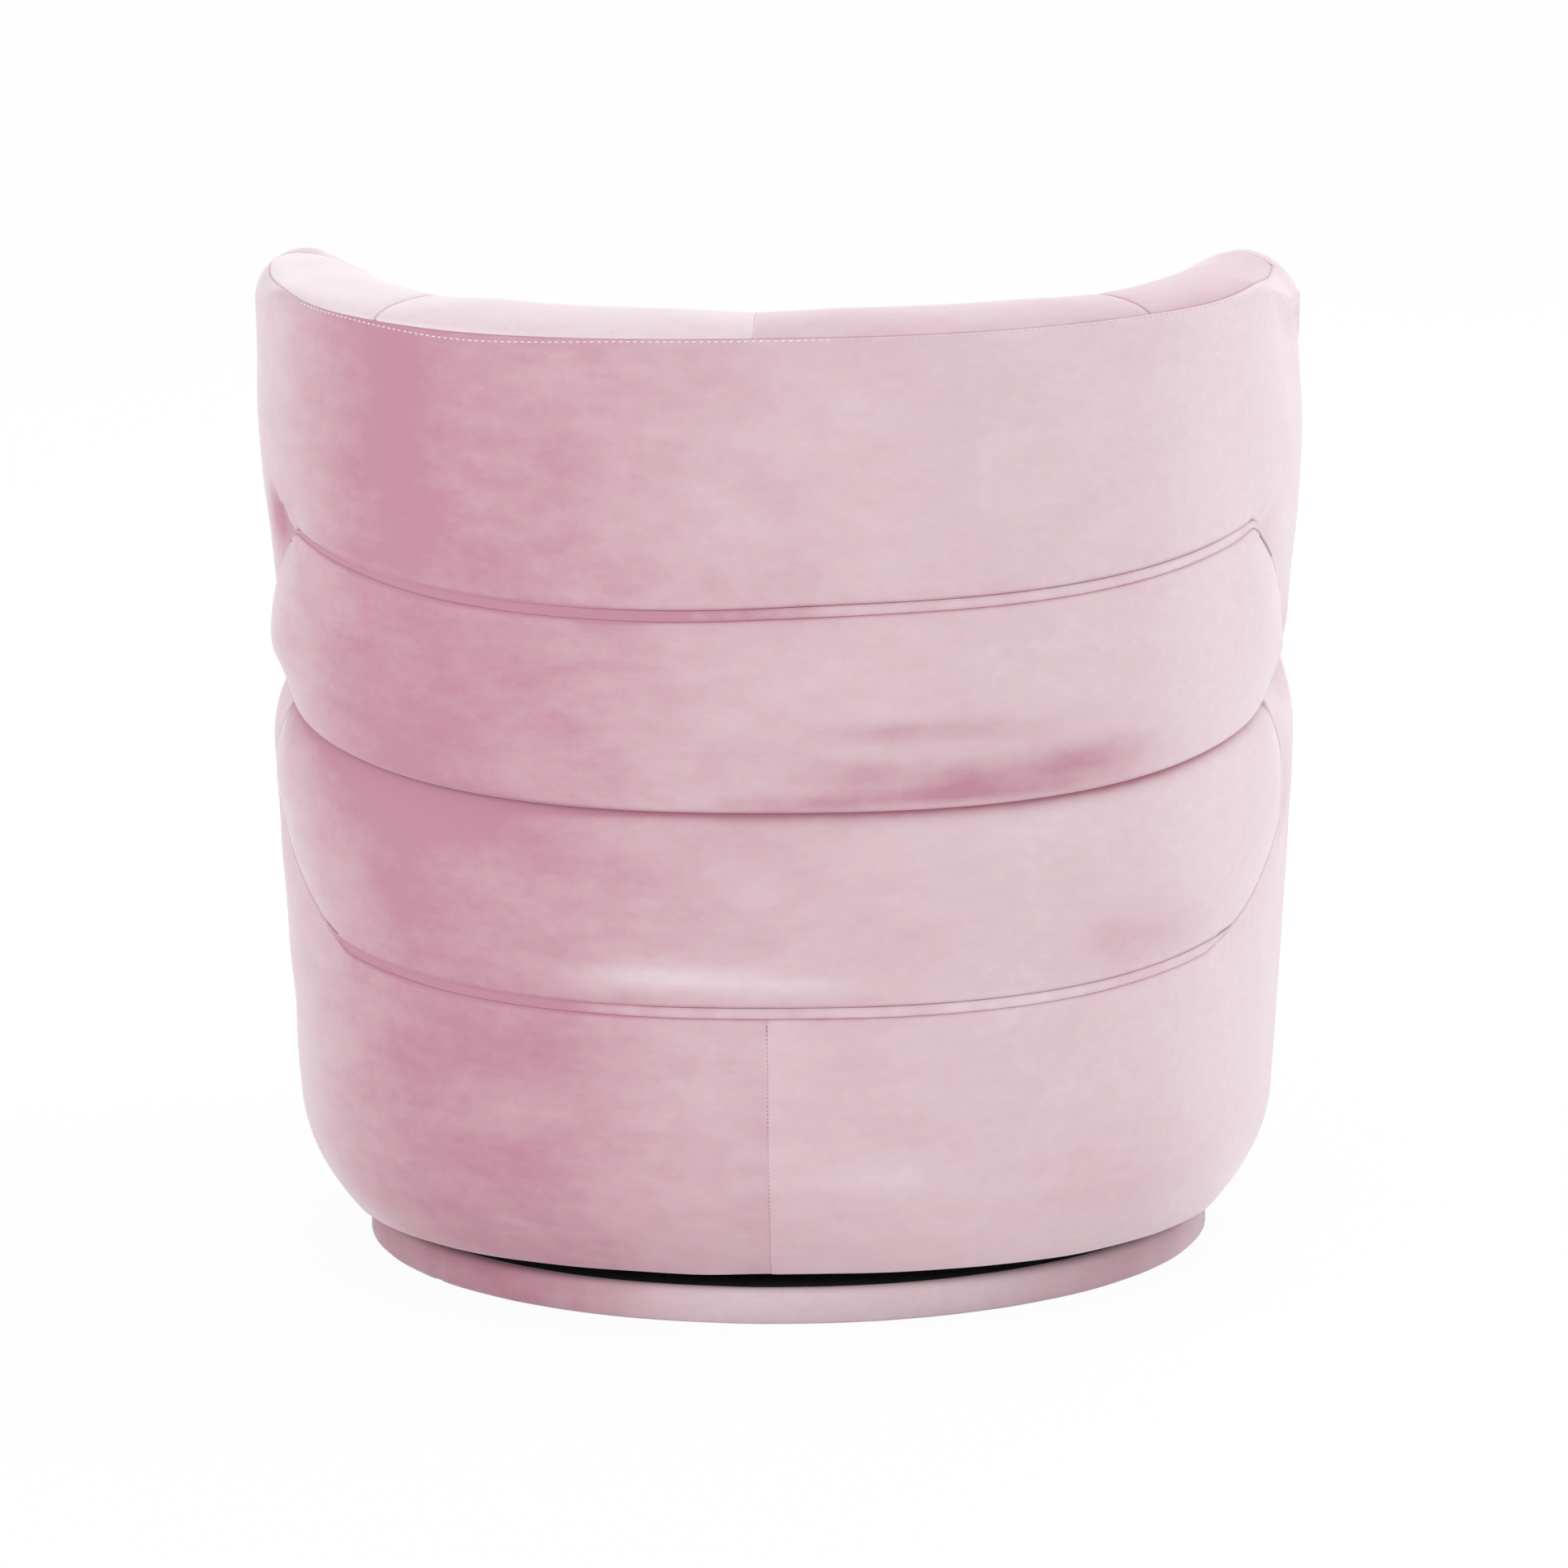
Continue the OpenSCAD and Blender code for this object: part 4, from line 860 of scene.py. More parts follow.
def paint_wood(recipe, tone, stretch, plies=False):
    """Sawn wood: its grain runs along the axis that is stretched least."""
    dark = [0.62 * x for x in tone]
    grain = recipe.noise(60, 5, stretch, 0.6)
    figure = recipe.noise(7, 3, stretch)
    line = recipe.contrast(grain, 0.35, 0.7) * 0.6 + figure * 0.4
    if plies:
        layer = recipe.node(
            "ShaderNodeTexWave",
            {"bands_direction": "Z"},
            {"Vector": recipe.at(), "Scale": 110.0, "Distortion": 0.6, "Detail": 2.0},
        )
        line = line * 0.7 + layer * 0.3
    recipe.set(Base_Color=recipe.blend(tone, dark, line), Roughness=0.55 + grain * 0.25)
    recipe.bump(grain, 0.0008, 0.4)


def paint_plywood(recipe):
    paint_wood(recipe, settings().colours.birch, (1, 1, 0.15), True)


def paint_timber(recipe):
    paint_wood(recipe, settings().colours.beech, (0.1, 1, 1))


def paint_fibreboard(recipe):
    """Pressed brown fibres."""
    fibres = recipe.noise(420, 4, (1, 1, 1), 0.7)
    recipe.set(Base_Color=recipe.blend((0.25, 0.15, 0.08), (0.38, 0.25, 0.14), fibres))
    recipe.set(Roughness=0.85)
    recipe.bump(fibres, 0.0006)


def paint_metal(recipe, tone, worn, roughness, metallic, grain):
    """Steel with its coat: fine grain, and rubbed patches."""
    fine = recipe.noise(grain, 3, (1, 1, 0.2))
    rubbed = recipe.contrast(recipe.noise(14, 5, roughness=0.7), 0.5, 0.72)
    recipe.set(Base_Color=recipe.blend(tone, worn, rubbed * 0.5 + fine * 0.2))
    recipe.set(Roughness=roughness + fine * 0.15 + rubbed * 0.08, Metallic=metallic)
    recipe.bump(fine, 0.0002, 0.5)


def paint_black_steel(recipe):
    paint_metal(recipe, (0.012, 0.012, 0.013), (0.035, 0.035, 0.036), 0.42, 0.1, 1300)


def paint_zinc_steel(recipe):
    paint_metal(recipe, (0.55, 0.55, 0.53), (0.40, 0.41, 0.42), 0.25, 1.0, 500)


def paint_spring_steel(recipe):
    paint_metal(recipe, (0.22, 0.22, 0.23), (0.12, 0.10, 0.09), 0.32, 1.0, 800)


def paint_plastic(recipe, tone):
    """Moulded plastic with a fine, dull skin."""
    fine = recipe.noise(700, 3)
    recipe.set(Base_Color=recipe.blend(tone, [0.8 * x for x in tone], fine))
    recipe.set(Roughness=0.4 + fine * 0.2)
    recipe.bump(fine, 0.0002, 0.6)


def paint_nylon(recipe):
    paint_plastic(recipe, (0.72, 0.68, 0.58))


def paint_glide_plastic(recipe):
    paint_plastic(recipe, (0.02, 0.02, 0.022))


def paint_black_cloth(recipe):
    """Non-woven cloth with its pattern of pressed dots."""
    dots = recipe.node(
        "ShaderNodeTexVoronoi", {}, {"Vector": recipe.at((1, 1, 0.1)), "Scale": 420.0}
    )
    fuzz = recipe.noise(800, 3)
    recipe.set(Base_Color=recipe.blend((0.006, 0.006, 0.007), (0.02, 0.02, 0.022), fuzz))
    recipe.set(Roughness=0.8 + fuzz * 0.1)
    recipe.bump(dots + fuzz * 0.3, 0.0005)


def finish(slot):
    """The material of a slot, made when it is first asked for."""
    found = bpy.data.materials.get(f"{slot}_finish")
    if found is None:
        recipe = Recipe(f"{slot}_finish")
        PAINTS[slot](recipe)
        found = recipe.material
    return found


PAINTS = {
    "velvet": paint_velvet,
    "thread": paint_thread,
    "pale_thread": paint_pale_thread,
    "seam_thread": paint_seam_thread,
    "plywood": paint_plywood,
    "timber": paint_timber,
    "fibreboard": paint_fibreboard,
    "glide_plastic": paint_glide_plastic,
    "black_cloth": paint_black_cloth,
    "black_steel": paint_black_steel,
    "zinc_steel": paint_zinc_steel,
    "spring_steel": paint_spring_steel,
    "nylon": paint_nylon,
}


# ---- Pile: how far it stands up, from 0 to 1, with painted shade, painted sheen and painted highlight added ----

# Places on the outside that were brushed by hand, and two painted shades, under the upper band's edge and
# in the pocket at the left waist: x, z, half width, half height and change
MARKS = (
    (-0.085, 0.464, 0.040, 0.007, 0.50),
    (-0.100, 0.416, 0.045, 0.007, 0.45),
    (-0.214, 0.428, 0.045, 0.018, 0.85),
    (-0.245, 0.437, 0.030, 0.013, 0.45),
    (-0.070, 0.433, 0.036, 0.012, 0.45),
    (-0.143, 0.426, 0.034, 0.014, 0.80),
    (-0.165, 0.414, 0.060, 0.006, 0.50),
    (-0.180, 0.463, 0.050, 0.010, 0.30),
    (-0.040, 0.411, 0.065, 0.006, 0.45),
    (0.106, 0.549, 0.030, 0.007, 0.35),
    (0.085, 0.278, 0.075, 0.012, -0.65),
    (-0.010, 0.272, 0.050, 0.008, -0.30),
    # Painted shade on the lower band, under the upper band's edge
    (0.250, 0.388, 0.080, 0.022, 0.22),
    (0.205, 0.585, 0.020, 0.018, 0.15),
    (0.270, 0.700, 0.040, 0.060, 0.12),
    (0.215, 0.215, 0.050, 0.020, 0.12),
    (0.205, 0.130, 0.060, 0.016, 0.12),
    (0.045, 0.180, 0.030, 0.016, -0.12),
    # Painted shade in the pocket beside the upper band's corner, at the left waist
    (0.377, 0.581, 0.013, 0.026, 1.00),
    (-0.265, 0.292, 0.040, 0.022, 0.40),
    (-0.230, 0.108, 0.090, 0.030, 0.20),
    (-0.090, 0.122, 0.045, 0.022, -0.22),
    (0.148, 0.371, 0.045, 0.022, 0.20),
    (0.148, 0.214, 0.040, 0.030, 0.22),
)


def marks_at(x, z):
    """The change that all the marks make together."""
    total = 0 * x
    for left, up, wide, high, change in MARKS:
        total += change * bell(x, left, wide) * bell(z, up, high)
    return total


def nap_back(x, z):
    """Rose towards the sitter's left and pale towards the right: partly the pile's own lie, partly painted
    shade on the left, which faces away from the light. Paler again at both sides, a painted sheen where
    the wall turns away.
    """
    rise = 0.93 * clamp((x + 0.25) / 0.52) ** 1.6 + 0.10 * bell(x, 0.17, 0.07)
    side = 0.295 - 0.030 * smooth((0.36 - z) / 0.10)
    # The fall at the sitter's left edge and the drop at the right edge are painted sheen
    return rise * (1 - 0.75 * smooth((x - side) / 0.10)) - 0.17 * smooth((-0.26 - x) / 0.08)


def nap_round(points, back):
    """The back's pile tone and painted light with its marks, fading to an even value in front of the
    sides.
    """
    x, y, z = points.T
    return mix(0.30, back + marks_at(x, z), smooth((y + 0.02) / 0.15))


def nap_outside(points):
    """Brushed as the back is, with painted shade under the upper band's edge, and paler on the rim's top
    over the wings and arms, a painted highlight.
    """
    x, y, z = points.T
    under = middle_edge(np.degrees(np.arctan2(x, y))) - z
    # Painted shade on the lower band, under the upper band's edge, towards the sitter's left
    shade = 0.45 * bell(under, 0, 0.020) * (under > 0) * smooth((x - 0.12) / 0.14)
    # Painted highlight: paler on the rim's top over the wings and arms, where it faces up to the light
    crest = smooth((z - 0.70) / 0.02) * smooth((0.36 - np.abs(x)) / 0.02) * smooth((0.13 - y) / 0.02)
    return mix(nap_round(points, nap_back(x, z) + shade), -0.20, crest)


def nap_strip(points):
    """The strips are rose towards the sitter's left, partly their pile and partly painted shade where the
    cover above hangs over them; elsewhere they are paler, the lower strip most, with painted highlights in
    blotches.
    """
    x, _, z = points.T
    low, blotch = z < 0.42, waves(x, 141, 0.12, 0.022, 5)
    # stands is painted shade in the recessed strips on the left, and flat is a painted highlight
    stands = smooth((x - np.where(low, 0.11, -0.05)) / 0.07)
    flat = np.where(low, 0.20 * smooth((x + 0.30) / 0.12), 0.08) * (0.75 + 0.5 * blotch)
    return nap_outside(points) + mix(-flat, 0.38 + 0.15 * blotch, stands)


def nap_skirt(points):
    """The skirt's two halves are cut with their pile lying a little differently."""
    x, _, z = points.T
    back, seam_x = nap_back(x, z), 0.0033
    left = np.maximum(back, 0.38 * smooth((0.36 - x) / 0.10))
    return nap_round(points, np.where(x > seam_x, left, np.minimum(back, 0.16)))


def nap_inside(points):
    """Inside, the sitter's left half is paler and the right half darker: partly the pile, laid differently
    in the two halves, and partly painted light, a painted highlight on the left half, which faces the
    light, and painted shade on the right half, which faces away.
    """
    x, seam_x = points[:, 0], 0.007
    left, right = -0.18 - 0.12 * smooth((x - 0.15) / 0.2), 0.12 + 0.14 * smooth((-0.18 - x) / 0.14)
    return np.where(x > seam_x, left, right)


def nap_front(points):
    """The pile of the front pieces stands up towards the sitter's left."""
    return 0.30 + 0.3 * smooth(points[:, 0] / 0.3 + 0.5)


def nap_plinth(points):
    """The plinth is darker rose at both sides: painted shade where it turns away from the light."""
    x = points[:, 0]
    return smooth((x - 0.03) / 0.2) + 0.40 * smooth((-0.14 - x) / 0.1) - 0.05


# ---- Pieces ----


class PieceOperator:
    """What all the operators that make pieces share."""

    bl_options = {"REGISTER", "UNDO"}

    def execute(self, context):
        self.make(Wall(settings().body))
        return {"FINISHED"}


class CHAIR_OT_collar(PieceOperator, bpy.types.Operator):
    """The large cover round the top of the back, folded over the arms"""

    bl_idname = "chair.collar"
    bl_label = "Collar"

    def make(self, wall):
        def low(phi):
            return collar_edge(phi) - wall.top(phi) + GAP

        def top(phi):
            return seam_over(phi) - GAP

        left, right = crossing(LEFT, GAP), crossing(RIGHT, GAP)

        def dents(phi, s):
            """The cover folds into a pocket beside the corner of the upper band."""
            out, up = (np.abs(phi) - CORNER - 1) * DEGREE, s + wall.top(phi) - 0.581
            run, off = 0.81 * out + 0.585 * up, 0.585 * out - 0.81 * up
            pocket = smooth(off / 0.008) * bell(np.maximum(off, 0.008), 0.008, 0.013)
            pocket *= sided(phi, 0.0090, 0.0032) * bell(run, 0.020, 0.024)
            return -pocket * (s < 0.01)

        Cover(
            "collar_cover",
            wall.on_section,
            [
                (along(low, -ARM_END, -BAND_END, 60), WAIST_EDGE),
                (along(low, -BAND_END, -CORNER, 30), POCKET_EDGE),
                (along(low, -CORNER, CORNER, 160), STRIP_EDGE),
                (along(low, CORNER, BAND_END, 30), POCKET_EDGE),
                (along(low, BAND_END, ARM_END, 60), WAIST_EDGE),
                (straight((ARM_END, low(ARM_END)), (ARM_END, OVER)), END_EDGE),
                (straight((ARM_END, OVER), left[-1]), RIM_EDGE),
                (left[::-1], RIM_EDGE),
                (along(top, left[0, 0], right[0, 0], 240), RIM_EDGE),
                (right, RIM_EDGE),
                (straight(right[-1], (-ARM_END, OVER)), RIM_EDGE),
                (straight((-ARM_END, OVER), (-ARM_END, low(ARM_END))), END_EDGE),
            ],
            seed=1,
            dents=dents,
        ).build_as("collar", nap_outside)


class CHAIR_OT_bands(PieceOperator, bpy.types.Operator):
    """The two padded bands across the back; the upper one hangs over the lower one"""

    bl_idname = "chair.bands"
    bl_label = "Bands"

    def make(self, wall):
        b = settings().bands
        end, corner = BAND_END - 0.3, CORNER + 2

        def top(phi):
            return collar_edge(phi) - upper_strip_width(phi) - GAP

        def low(phi):
            return middle_edge(phi) + GAP

        # Its deep over wide is a painted shadow on the underside of the upper band's hanging edge
        hanging = Edge(0.0012, 0.030, nip=0.0075, fold=0.0034, pucker=0.0002, deep=1.2, wide=0.0030)
        ending = Edge(0.0022, 0.026, nip=0.0022, pucker=0.0002, deep=0.15)
        Cover(
            "upper_band_cover",
            wall.on_wall,
            [
                (along(low, -end, end, 200), hanging),
                (along(top, end, corner, 60), ending),
                (along(top, corner, -corner, 200), BAND_EDGE),
                (along(top, -corner, -end, 60), ending),
            ],
            seed=11,
            swell=b.swell,
        ).build_as("upper_band", nap_outside)

        def under(phi):
            return middle_edge(phi) - GAP

        def over_strip(phi):
            return skirt_edge(phi) + lower_strip_width(phi) + GAP

        left, right = leaf_end(LEFT, -GAP), leaf_end(RIGHT, -GAP)
        # Its deep over wide is a painted shadow on the lower band, under the upper band's edge
        beneath = Edge(0.0100, 0.034, nip=0.0008, pucker=0.0003, deep=1.2, wide=0.0055)
        Cover(
            "lower_band_cover",
            wall.on_wall,
            [
                (along(over_strip, right[0, 0], -BAND_TURN, 60), ending),
                (along(over_strip, -BAND_TURN, BAND_TURN, 200), BAND_EDGE),
                (along(over_strip, BAND_TURN, left[0, 0], 60), ending),
                (left, ending),
                (along(under, left[-1, 0], right[-1, 0], 180), beneath),
                (right[::-1], ending),
            ],
            seed=21,
            swell=b.swell,
        ).build_as("lower_band", nap_outside)


class CHAIR_OT_strips(PieceOperator, bpy.types.Operator):
    """The flat strips under the collar and over the skirt"""

    bl_idname = "chair.strips"
    bl_label = "Strips"

    def make(self, wall):
        def upper_low(phi):
            return collar_edge(phi) - upper_strip_width(phi) + GAP

        def upper_top(phi):
            return collar_edge(phi) - GAP

        def lower_low(phi):
            return skirt_edge(phi) + GAP

        def lower_top(phi):
            return skirt_edge(phi) + lower_strip_width(phi) - GAP

        def place(a, z):
            """The strips lie in the seam, deeper where the cover above hangs over them."""
            level = 0.0012 + 0.0013 * smooth((a / DEGREE - 6) / 24)
            return lifted(wall.on_wall, a, z, -level)

        # deep: painted shade along the strips' seams
        side = Edge(nip=0.0002, deep=0.3)
        for name, low, top, start, end, seed in (
            ("upper_strip", upper_low, upper_top, -67.5, 63.5, 41),
            ("lower_strip", lower_low, lower_top, -59.5, 59.5, 51),
        ):
            Cover(
                f"{name}_cover",
                place,
                [
                    (along(low, start, end, 200), side),
                    (straight((end, low(end)), (end, top(end))), side),
                    (along(top, end, start, 200), side),
                    (straight((start, top(start)), (start, low(start))), side),
                ],
                seed=seed,
                rows=(0.0006, 0.0013, 0.0023),
                step=0.003,
                grid=0.002,
                depth=0.012,
            ).build_as(name, nap_strip)


class CHAIR_OT_skirts(PieceOperator, bpy.types.Operator):
    """The two halves of the lower cover, sewn together at the centre of the back"""

    bl_idname = "chair.skirts"
    bl_label = "Skirts"

    def make(self, wall):
        b, body = settings().bands, settings().body
        jump = 0.004
        # deep: painted shade along the skirt's seams
        ending = Edge(0.0030, 0.030, nip=0.0012, pucker=0.0002, bead=0.0004, deep=0.2)

        def top(phi):
            return skirt_edge(phi) - GAP

        for side in (LEFT, RIGHT):
            leaf, start, front = leaf_end(side, GAP), SKIRT_CENTRE + side * jump, side * ARM_END
            Cover(
                f"skirt_{SIDE_NAME[side]}_cover",
                wall.on_wall,
                [
                    (straight((start, top(start)), (start, body.hem)), Edge()),
                    (straight((start, body.hem), (front, body.hem)), PLAIN_EDGE),
                    (straight((front, body.hem), (front, b.notch)), END_EDGE),
                    (straight((front, b.notch - GAP), (leaf[-1, 0], b.notch - GAP)), WAIST_EDGE),
                    (leaf[::-1], ending),
                    (along(top, leaf[0, 0], side * BAND_TURN, 60), ending),
                    (along(top, side * BAND_TURN, start, 120), BAND_EDGE),
                ],
                seed=61 + side,
            ).build_as(f"skirt_{SIDE_NAME[side]}", nap_skirt)


class CHAIR_OT_front_panel(PieceOperator, bpy.types.Operator):
    """The panel under the seat cushion, between the arms"""

    bl_idname = "chair.front_panel"
    bl_label = "Front panel"

    def make(self, wall):
        body = settings().body
        start, stop = ARM_END + 0.2, 360 - ARM_END - 0.2
        corners = [(start, body.hem), (stop, body.hem), (stop, body.deck), (start, body.deck)]
        # deep: painted shade along the panel's top seam
        soft = Edge(0.0020, 0.030, nip=0.0035, deep=0.1)
        Cover(
            "front_panel_cover",
            wall.on_wall,
            framed(corners, (PLAIN_EDGE, END_EDGE, soft, END_EDGE)),
            seed=71,
            swell=0.002,
        ).build_as("front_panel", nap_front)


class CHAIR_OT_inner_covers(PieceOperator, bpy.types.Operator):
    """The covers inside: the two halves of the back, its wings and the arms"""

    bl_idname = "chair.inner_covers"
    bl_label = "Inner covers"

    def make(self, wall):
        body = settings().body

        def end(phi):
            return OVER + wall.crown(phi) - wall.inner_drop - body.deck - GAP

        def start(phi):
            return seam_over(phi) + GAP

        # deep: painted shade along the inner seams
        seam = Edge(0.0010, 0.012, nip=0.0008, deep=0.3)
        faint = Edge(0.0003, 0.008, nip=0.0002)
        bottom = Edge(0.0060, 0.060, nip=0.0020)
        for side in (LEFT, RIGHT):
            rim, wing, foot = crossing(side, -GAP), side * WING[side], side * WING_FOOT
            gap, centre, last = side * 0.04, CENTRE + side * 0.01, rim[-1, 0]
            arm, front = last + 2 * gap, side * ARM_END
            for name, sides, seed in (
                ("inner_back", [
                    (along(start, centre, wing - gap, 80), RIM_EDGE),
                    (straight((wing - gap, start(wing)), (foot - gap, end(foot))), seam),
                    (along(end, foot - gap, centre, 60), bottom),
                    (straight((centre, end(centre)), (centre, start(centre))), faint),
                ], 81),
                ("inner_wing", [
                    (along(start, wing + gap, rim[0, 0], 80), RIM_EDGE),
                    (rim[1:], RIM_EDGE),
                    (straight(rim[-1], (last, end(last))), seam),
                    (along(end, last, foot + gap, 60), bottom),
                    (straight((foot + gap, end(foot)), (wing + gap, start(wing))), seam),
                ], 91),
                ("inner_arm", [
                    (straight((arm, OVER + GAP), (front, OVER + GAP)), RIM_EDGE),
                    (straight((front, OVER + GAP), (front, end(ARM_END))), seam),
                    (along(end, front, arm, 60), bottom),
                    (straight((arm, end(arm)), (arm, OVER + GAP)), seam),
                ], 101),
            ):
                Cover(
                    f"{name}_{SIDE_NAME[side]}_cover",
                    wall.on_section,
                    sides,
                    seed=seed + side,
                    swell=0.003 if name == "inner_back" else 0.001,
                    swell_reach=0.09,
                ).build_as(f"{name}_{SIDE_NAME[side]}", nap_inside)


class CHAIR_OT_arm_noses(PieceOperator, bpy.types.Operator):
    """The rounded fronts of the arms"""

    bl_idname = "chair.arm_noses"
    bl_label = "Arm fronts"

    def make(self, wall):
        body = settings().body
        turn, width, low = wall.nose_turn(), 0.16, body.deck + 0.0005
        corners = [(0, low), (width / DEGREE, low), (width / DEGREE, body.arm), (0, body.arm)]
        soft = Edge(nip=0.0020)
        for side in (LEFT, RIGHT):

            def nose(a, z):
                u = a / width if side == LEFT else 1 - a / width
                k = clamp((z - (body.arm - wall.side_drop)) / wall.side_drop)
                h = np.sqrt(np.maximum(0, 1 - k * k))
                half = mix(0.12, 1, h) * body.rim_width / 2
                middle = body.rim_width / 2 + (wall.crown_in - body.rim_width / 2) * k
                phi = ARM_END + 0.25 + turn * np.sin(np.pi * u) * mix(0.1, 1, h)
                return wall.place(side * phi, z, middle - half * np.cos(np.pi * u))

            Cover(
                f"arm_nose_{SIDE_NAME[side]}_cover",
                nose,
                framed(corners, (PLAIN_EDGE, soft, END_EDGE, soft)),
                seed=111 + side,
                depth=0.006,
                grid=0.006,
            ).build_as(f"arm_nose_{SIDE_NAME[side]}", nap_front)


class CHAIR_OT_seat_cushion(PieceOperator, bpy.types.Operator):
    """The loose cushion: a boxed form, swollen by a cloth simulation, with piping"""

    bl_idname = "chair.seat_cushion"
    bl_label = "Seat cushion"

    # Radius of its rounded edges, and its clearance from the covers round it
    edge, clear = 0.034, 0.004
    # Distance between the points of its cover, and reach over which its filling evens a push
    voxel, firmness = 0.0075, 0.05
    # How far the filling pushes the cover at most, in all and sideways
    most, most_sideways = 0.016, 0.004

    def make(self, wall):
        body, sizes = settings().body, settings().cushion
        bottom = lowest("seat_cushion").z
        phi = np.linspace(-180, 180, 181)[:-1]
        angle, reach = np.radians(phi), self.radius(wall, body, phi) - self.clear
        rings = []
        for inset, z in self.profile(bottom, body.seat - sizes.crown):
            r = reach - inset
            rings.append(np.stack([r * np.sin(angle), r * np.cos(angle), z + 0 * r], -1))
        points, count = np.vstack(rings), len(phi)
        faces = [face[::-1] for face in ring_faces(len(rings), count)]
        faces.append(tuple(range(count)))
        faces.append(tuple(len(points) - 1 - i for i in range(count)))
        piece = new_object("seat_cushion_cover", points, faces, finish("velvet"))
        add_modifier(piece, "REMESH", mode="VOXEL", voxel_size=self.voxel)
        self.swell(piece, bottom, sizes)
        add_modifier(piece, "SMOOTH", factor=0.5, iterations=14)
        add_modifier(piece, "SUBSURF", levels=1, render_levels=1)
        coords = read_points(piece)
        middle = bell(np.linalg.norm(coords[:, :2], axis=1), 0, 0.26)
        coords[:, 2] += sizes.crown * middle * smooth((coords[:, 2] - 0.39) / 0.04)
        write_points(piece, coords)
        point_value(piece, "nap_and_light", np.full(len(coords), 0.2))
        finish_piece(piece, SEAT, "seat_cushion", fill=sizes.fill)
        self.piping(piece, bottom, body, sizes)

    def radius(self, wall, body, phi):
        """Radius of the plan: inside the arms, and forward between them."""
        z = body.deck + self.edge
        inner = wall.radius(phi, z, wall.width(phi, z) + 0.002)
        forward = wall.radius(phi, z, 0.008)
        start = ARM_END + wall.nose_turn() + 1
        return mix(inner, forward, smooth((np.abs(phi) - start) / 16))

    def profile(self, low, high):
        """(Inset, height) up the cushion's side, with rounded edges."""
        turn, r = np.radians(np.linspace(0, 90, 7)), self.edge
        lower = [(r * (1 - math.sin(a)), low + r * (1 - math.cos(a))) for a in turn]
        upper = [(r * (1 - math.cos(a)), high - r * (1 - math.sin(a))) for a in turn]
        return [(0.20, low), (0.10, low)] + lower + upper + [(0.10, high), (0.20, high)]

    def swell(self, piece, bottom, sizes):
        """Blows the cushion up a little, with its foot kept flat on the deck."""
        scene, rest = bpy.context.scene, read_points(piece)
        cloth = piece.modifiers.new("Cloth", "CLOTH")
        cloth.settings.use_pressure = True
        cloth.settings.uniform_pressure_force = sizes.pressure
        cloth.settings.effector_weights.gravity = 0
        cloth.point_cache.frame_start, cloth.point_cache.frame_end = 1, sizes.frames
        for number in range(1, sizes.frames + 1):
            scene.frame_set(number)
        select_only(piece)
        bpy.ops.object.modifier_apply(modifier=cloth.name)
        scene.frame_set(1)
        moved = self.evened(rest, read_points(piece) - rest)
        moved *= self.capped(moved, self.most)
        moved[:, :2] *= self.capped(moved[:, :2], self.most_sideways)
        coords = rest + moved
        coords[:, 2] = np.maximum(coords[:, 2], bottom)
        write_points(piece, coords)

    def capped(self, moved, most):
        """The share of each point's movement that is allowed."""
        return np.minimum(1, most / np.maximum(np.linalg.norm(moved, axis=1), 1e-9))[:, None]

    def evened(self, rest, moved):
        """How far each point moves, averaged over the points around it."""
        tree = KDTree(len(rest))
        for number, point in enumerate(rest):
            tree.insert(point, number)
        tree.balance()
        near = (tree.find_range(point, self.firmness) for point in rest)
        return np.array([moved[[number for _, number, _ in found]].mean(axis=0) for found in near])

    def piping(self, piece, bottom, body, sizes):
        """A velvet cord in each of the two seams round the cushion."""
        tree = BVHTree.FromObject(piece, bpy.context.evaluated_depsgraph_get())
        for name, z in (("upper", body.seat - 0.036), ("lower", bottom + 0.022)):
            line = []
            for phi in np.linspace(-180, 180, 361)[:-1]:
                way = Vector((math.sin(math.radians(phi)), math.cos(math.radians(phi)), 0))
                hit = tree.ray_cast(way * 0.6 + Vector((0, 0, z)), -way)[0]
                if hit is None:
                    raise RuntimeError("the cushion's side was not found")
                line.append(hit - way * 0.0006)
            tube = tube_round(f"cushion_piping_{name}", line, sizes.welt)
            point_value(tube, "nap_and_light", np.full(len(tube.data.vertices), 0.3))
            finish_piece(tube, SEAT, padded=False)


def add_modifier(piece, kind, **values):
    """Adds a modifier with its values and applies it."""
    made = piece.modifiers.new(kind, kind)
    for key, value in values.items():
        setattr(made, key, value)
    select_only(piece)
    bpy.ops.object.modifier_apply(modifier=made.name)


def read_points(piece):
    coords = np.empty(len(piece.data.vertices) * 3)
    piece.data.vertices.foreach_get("co", coords)
    return coords.reshape(-1, 3)


def write_points(piece, coords):
    piece.data.vertices.foreach_set("co", coords.ravel())
    piece.data.update()


def ring_faces(rings, count, closed=False):
    """The faces between rings of count points each, closed if the last meets the first."""
    return [
        tuple(
            ring % rings * count + spot % count
            for ring, spot in ((j, i), (j, i + 1), (j + 1, i + 1), (j + 1, i))
        )
        for j in range(rings if closed else rings - 1)
        for i in range(count)
    ]


def tube_round(name, line, radius, sides=10):
    """A closed tube along a loop of points."""
    line = np.array([tuple(p) for p in line])
    run = np.roll(line, -1, axis=0) - np.roll(line, 1, axis=0)
    run /= np.linalg.norm(run, axis=1)[:, None]
    out = np.cross(run, (0, 0, 1))
    up = np.cross(out, run)
    turn = (2 * np.pi * np.arange(sides) / sides)[:, None]
    points = line[:, None] + radius * (out[:, None] * np.cos(turn) + up[:, None] * np.sin(turn))
    faces = ring_faces(len(line), sides, closed=True)
    piece = new_object(name, points.reshape(-1, 3), faces, finish("velvet"))
    face_outwards(piece)
    return piece


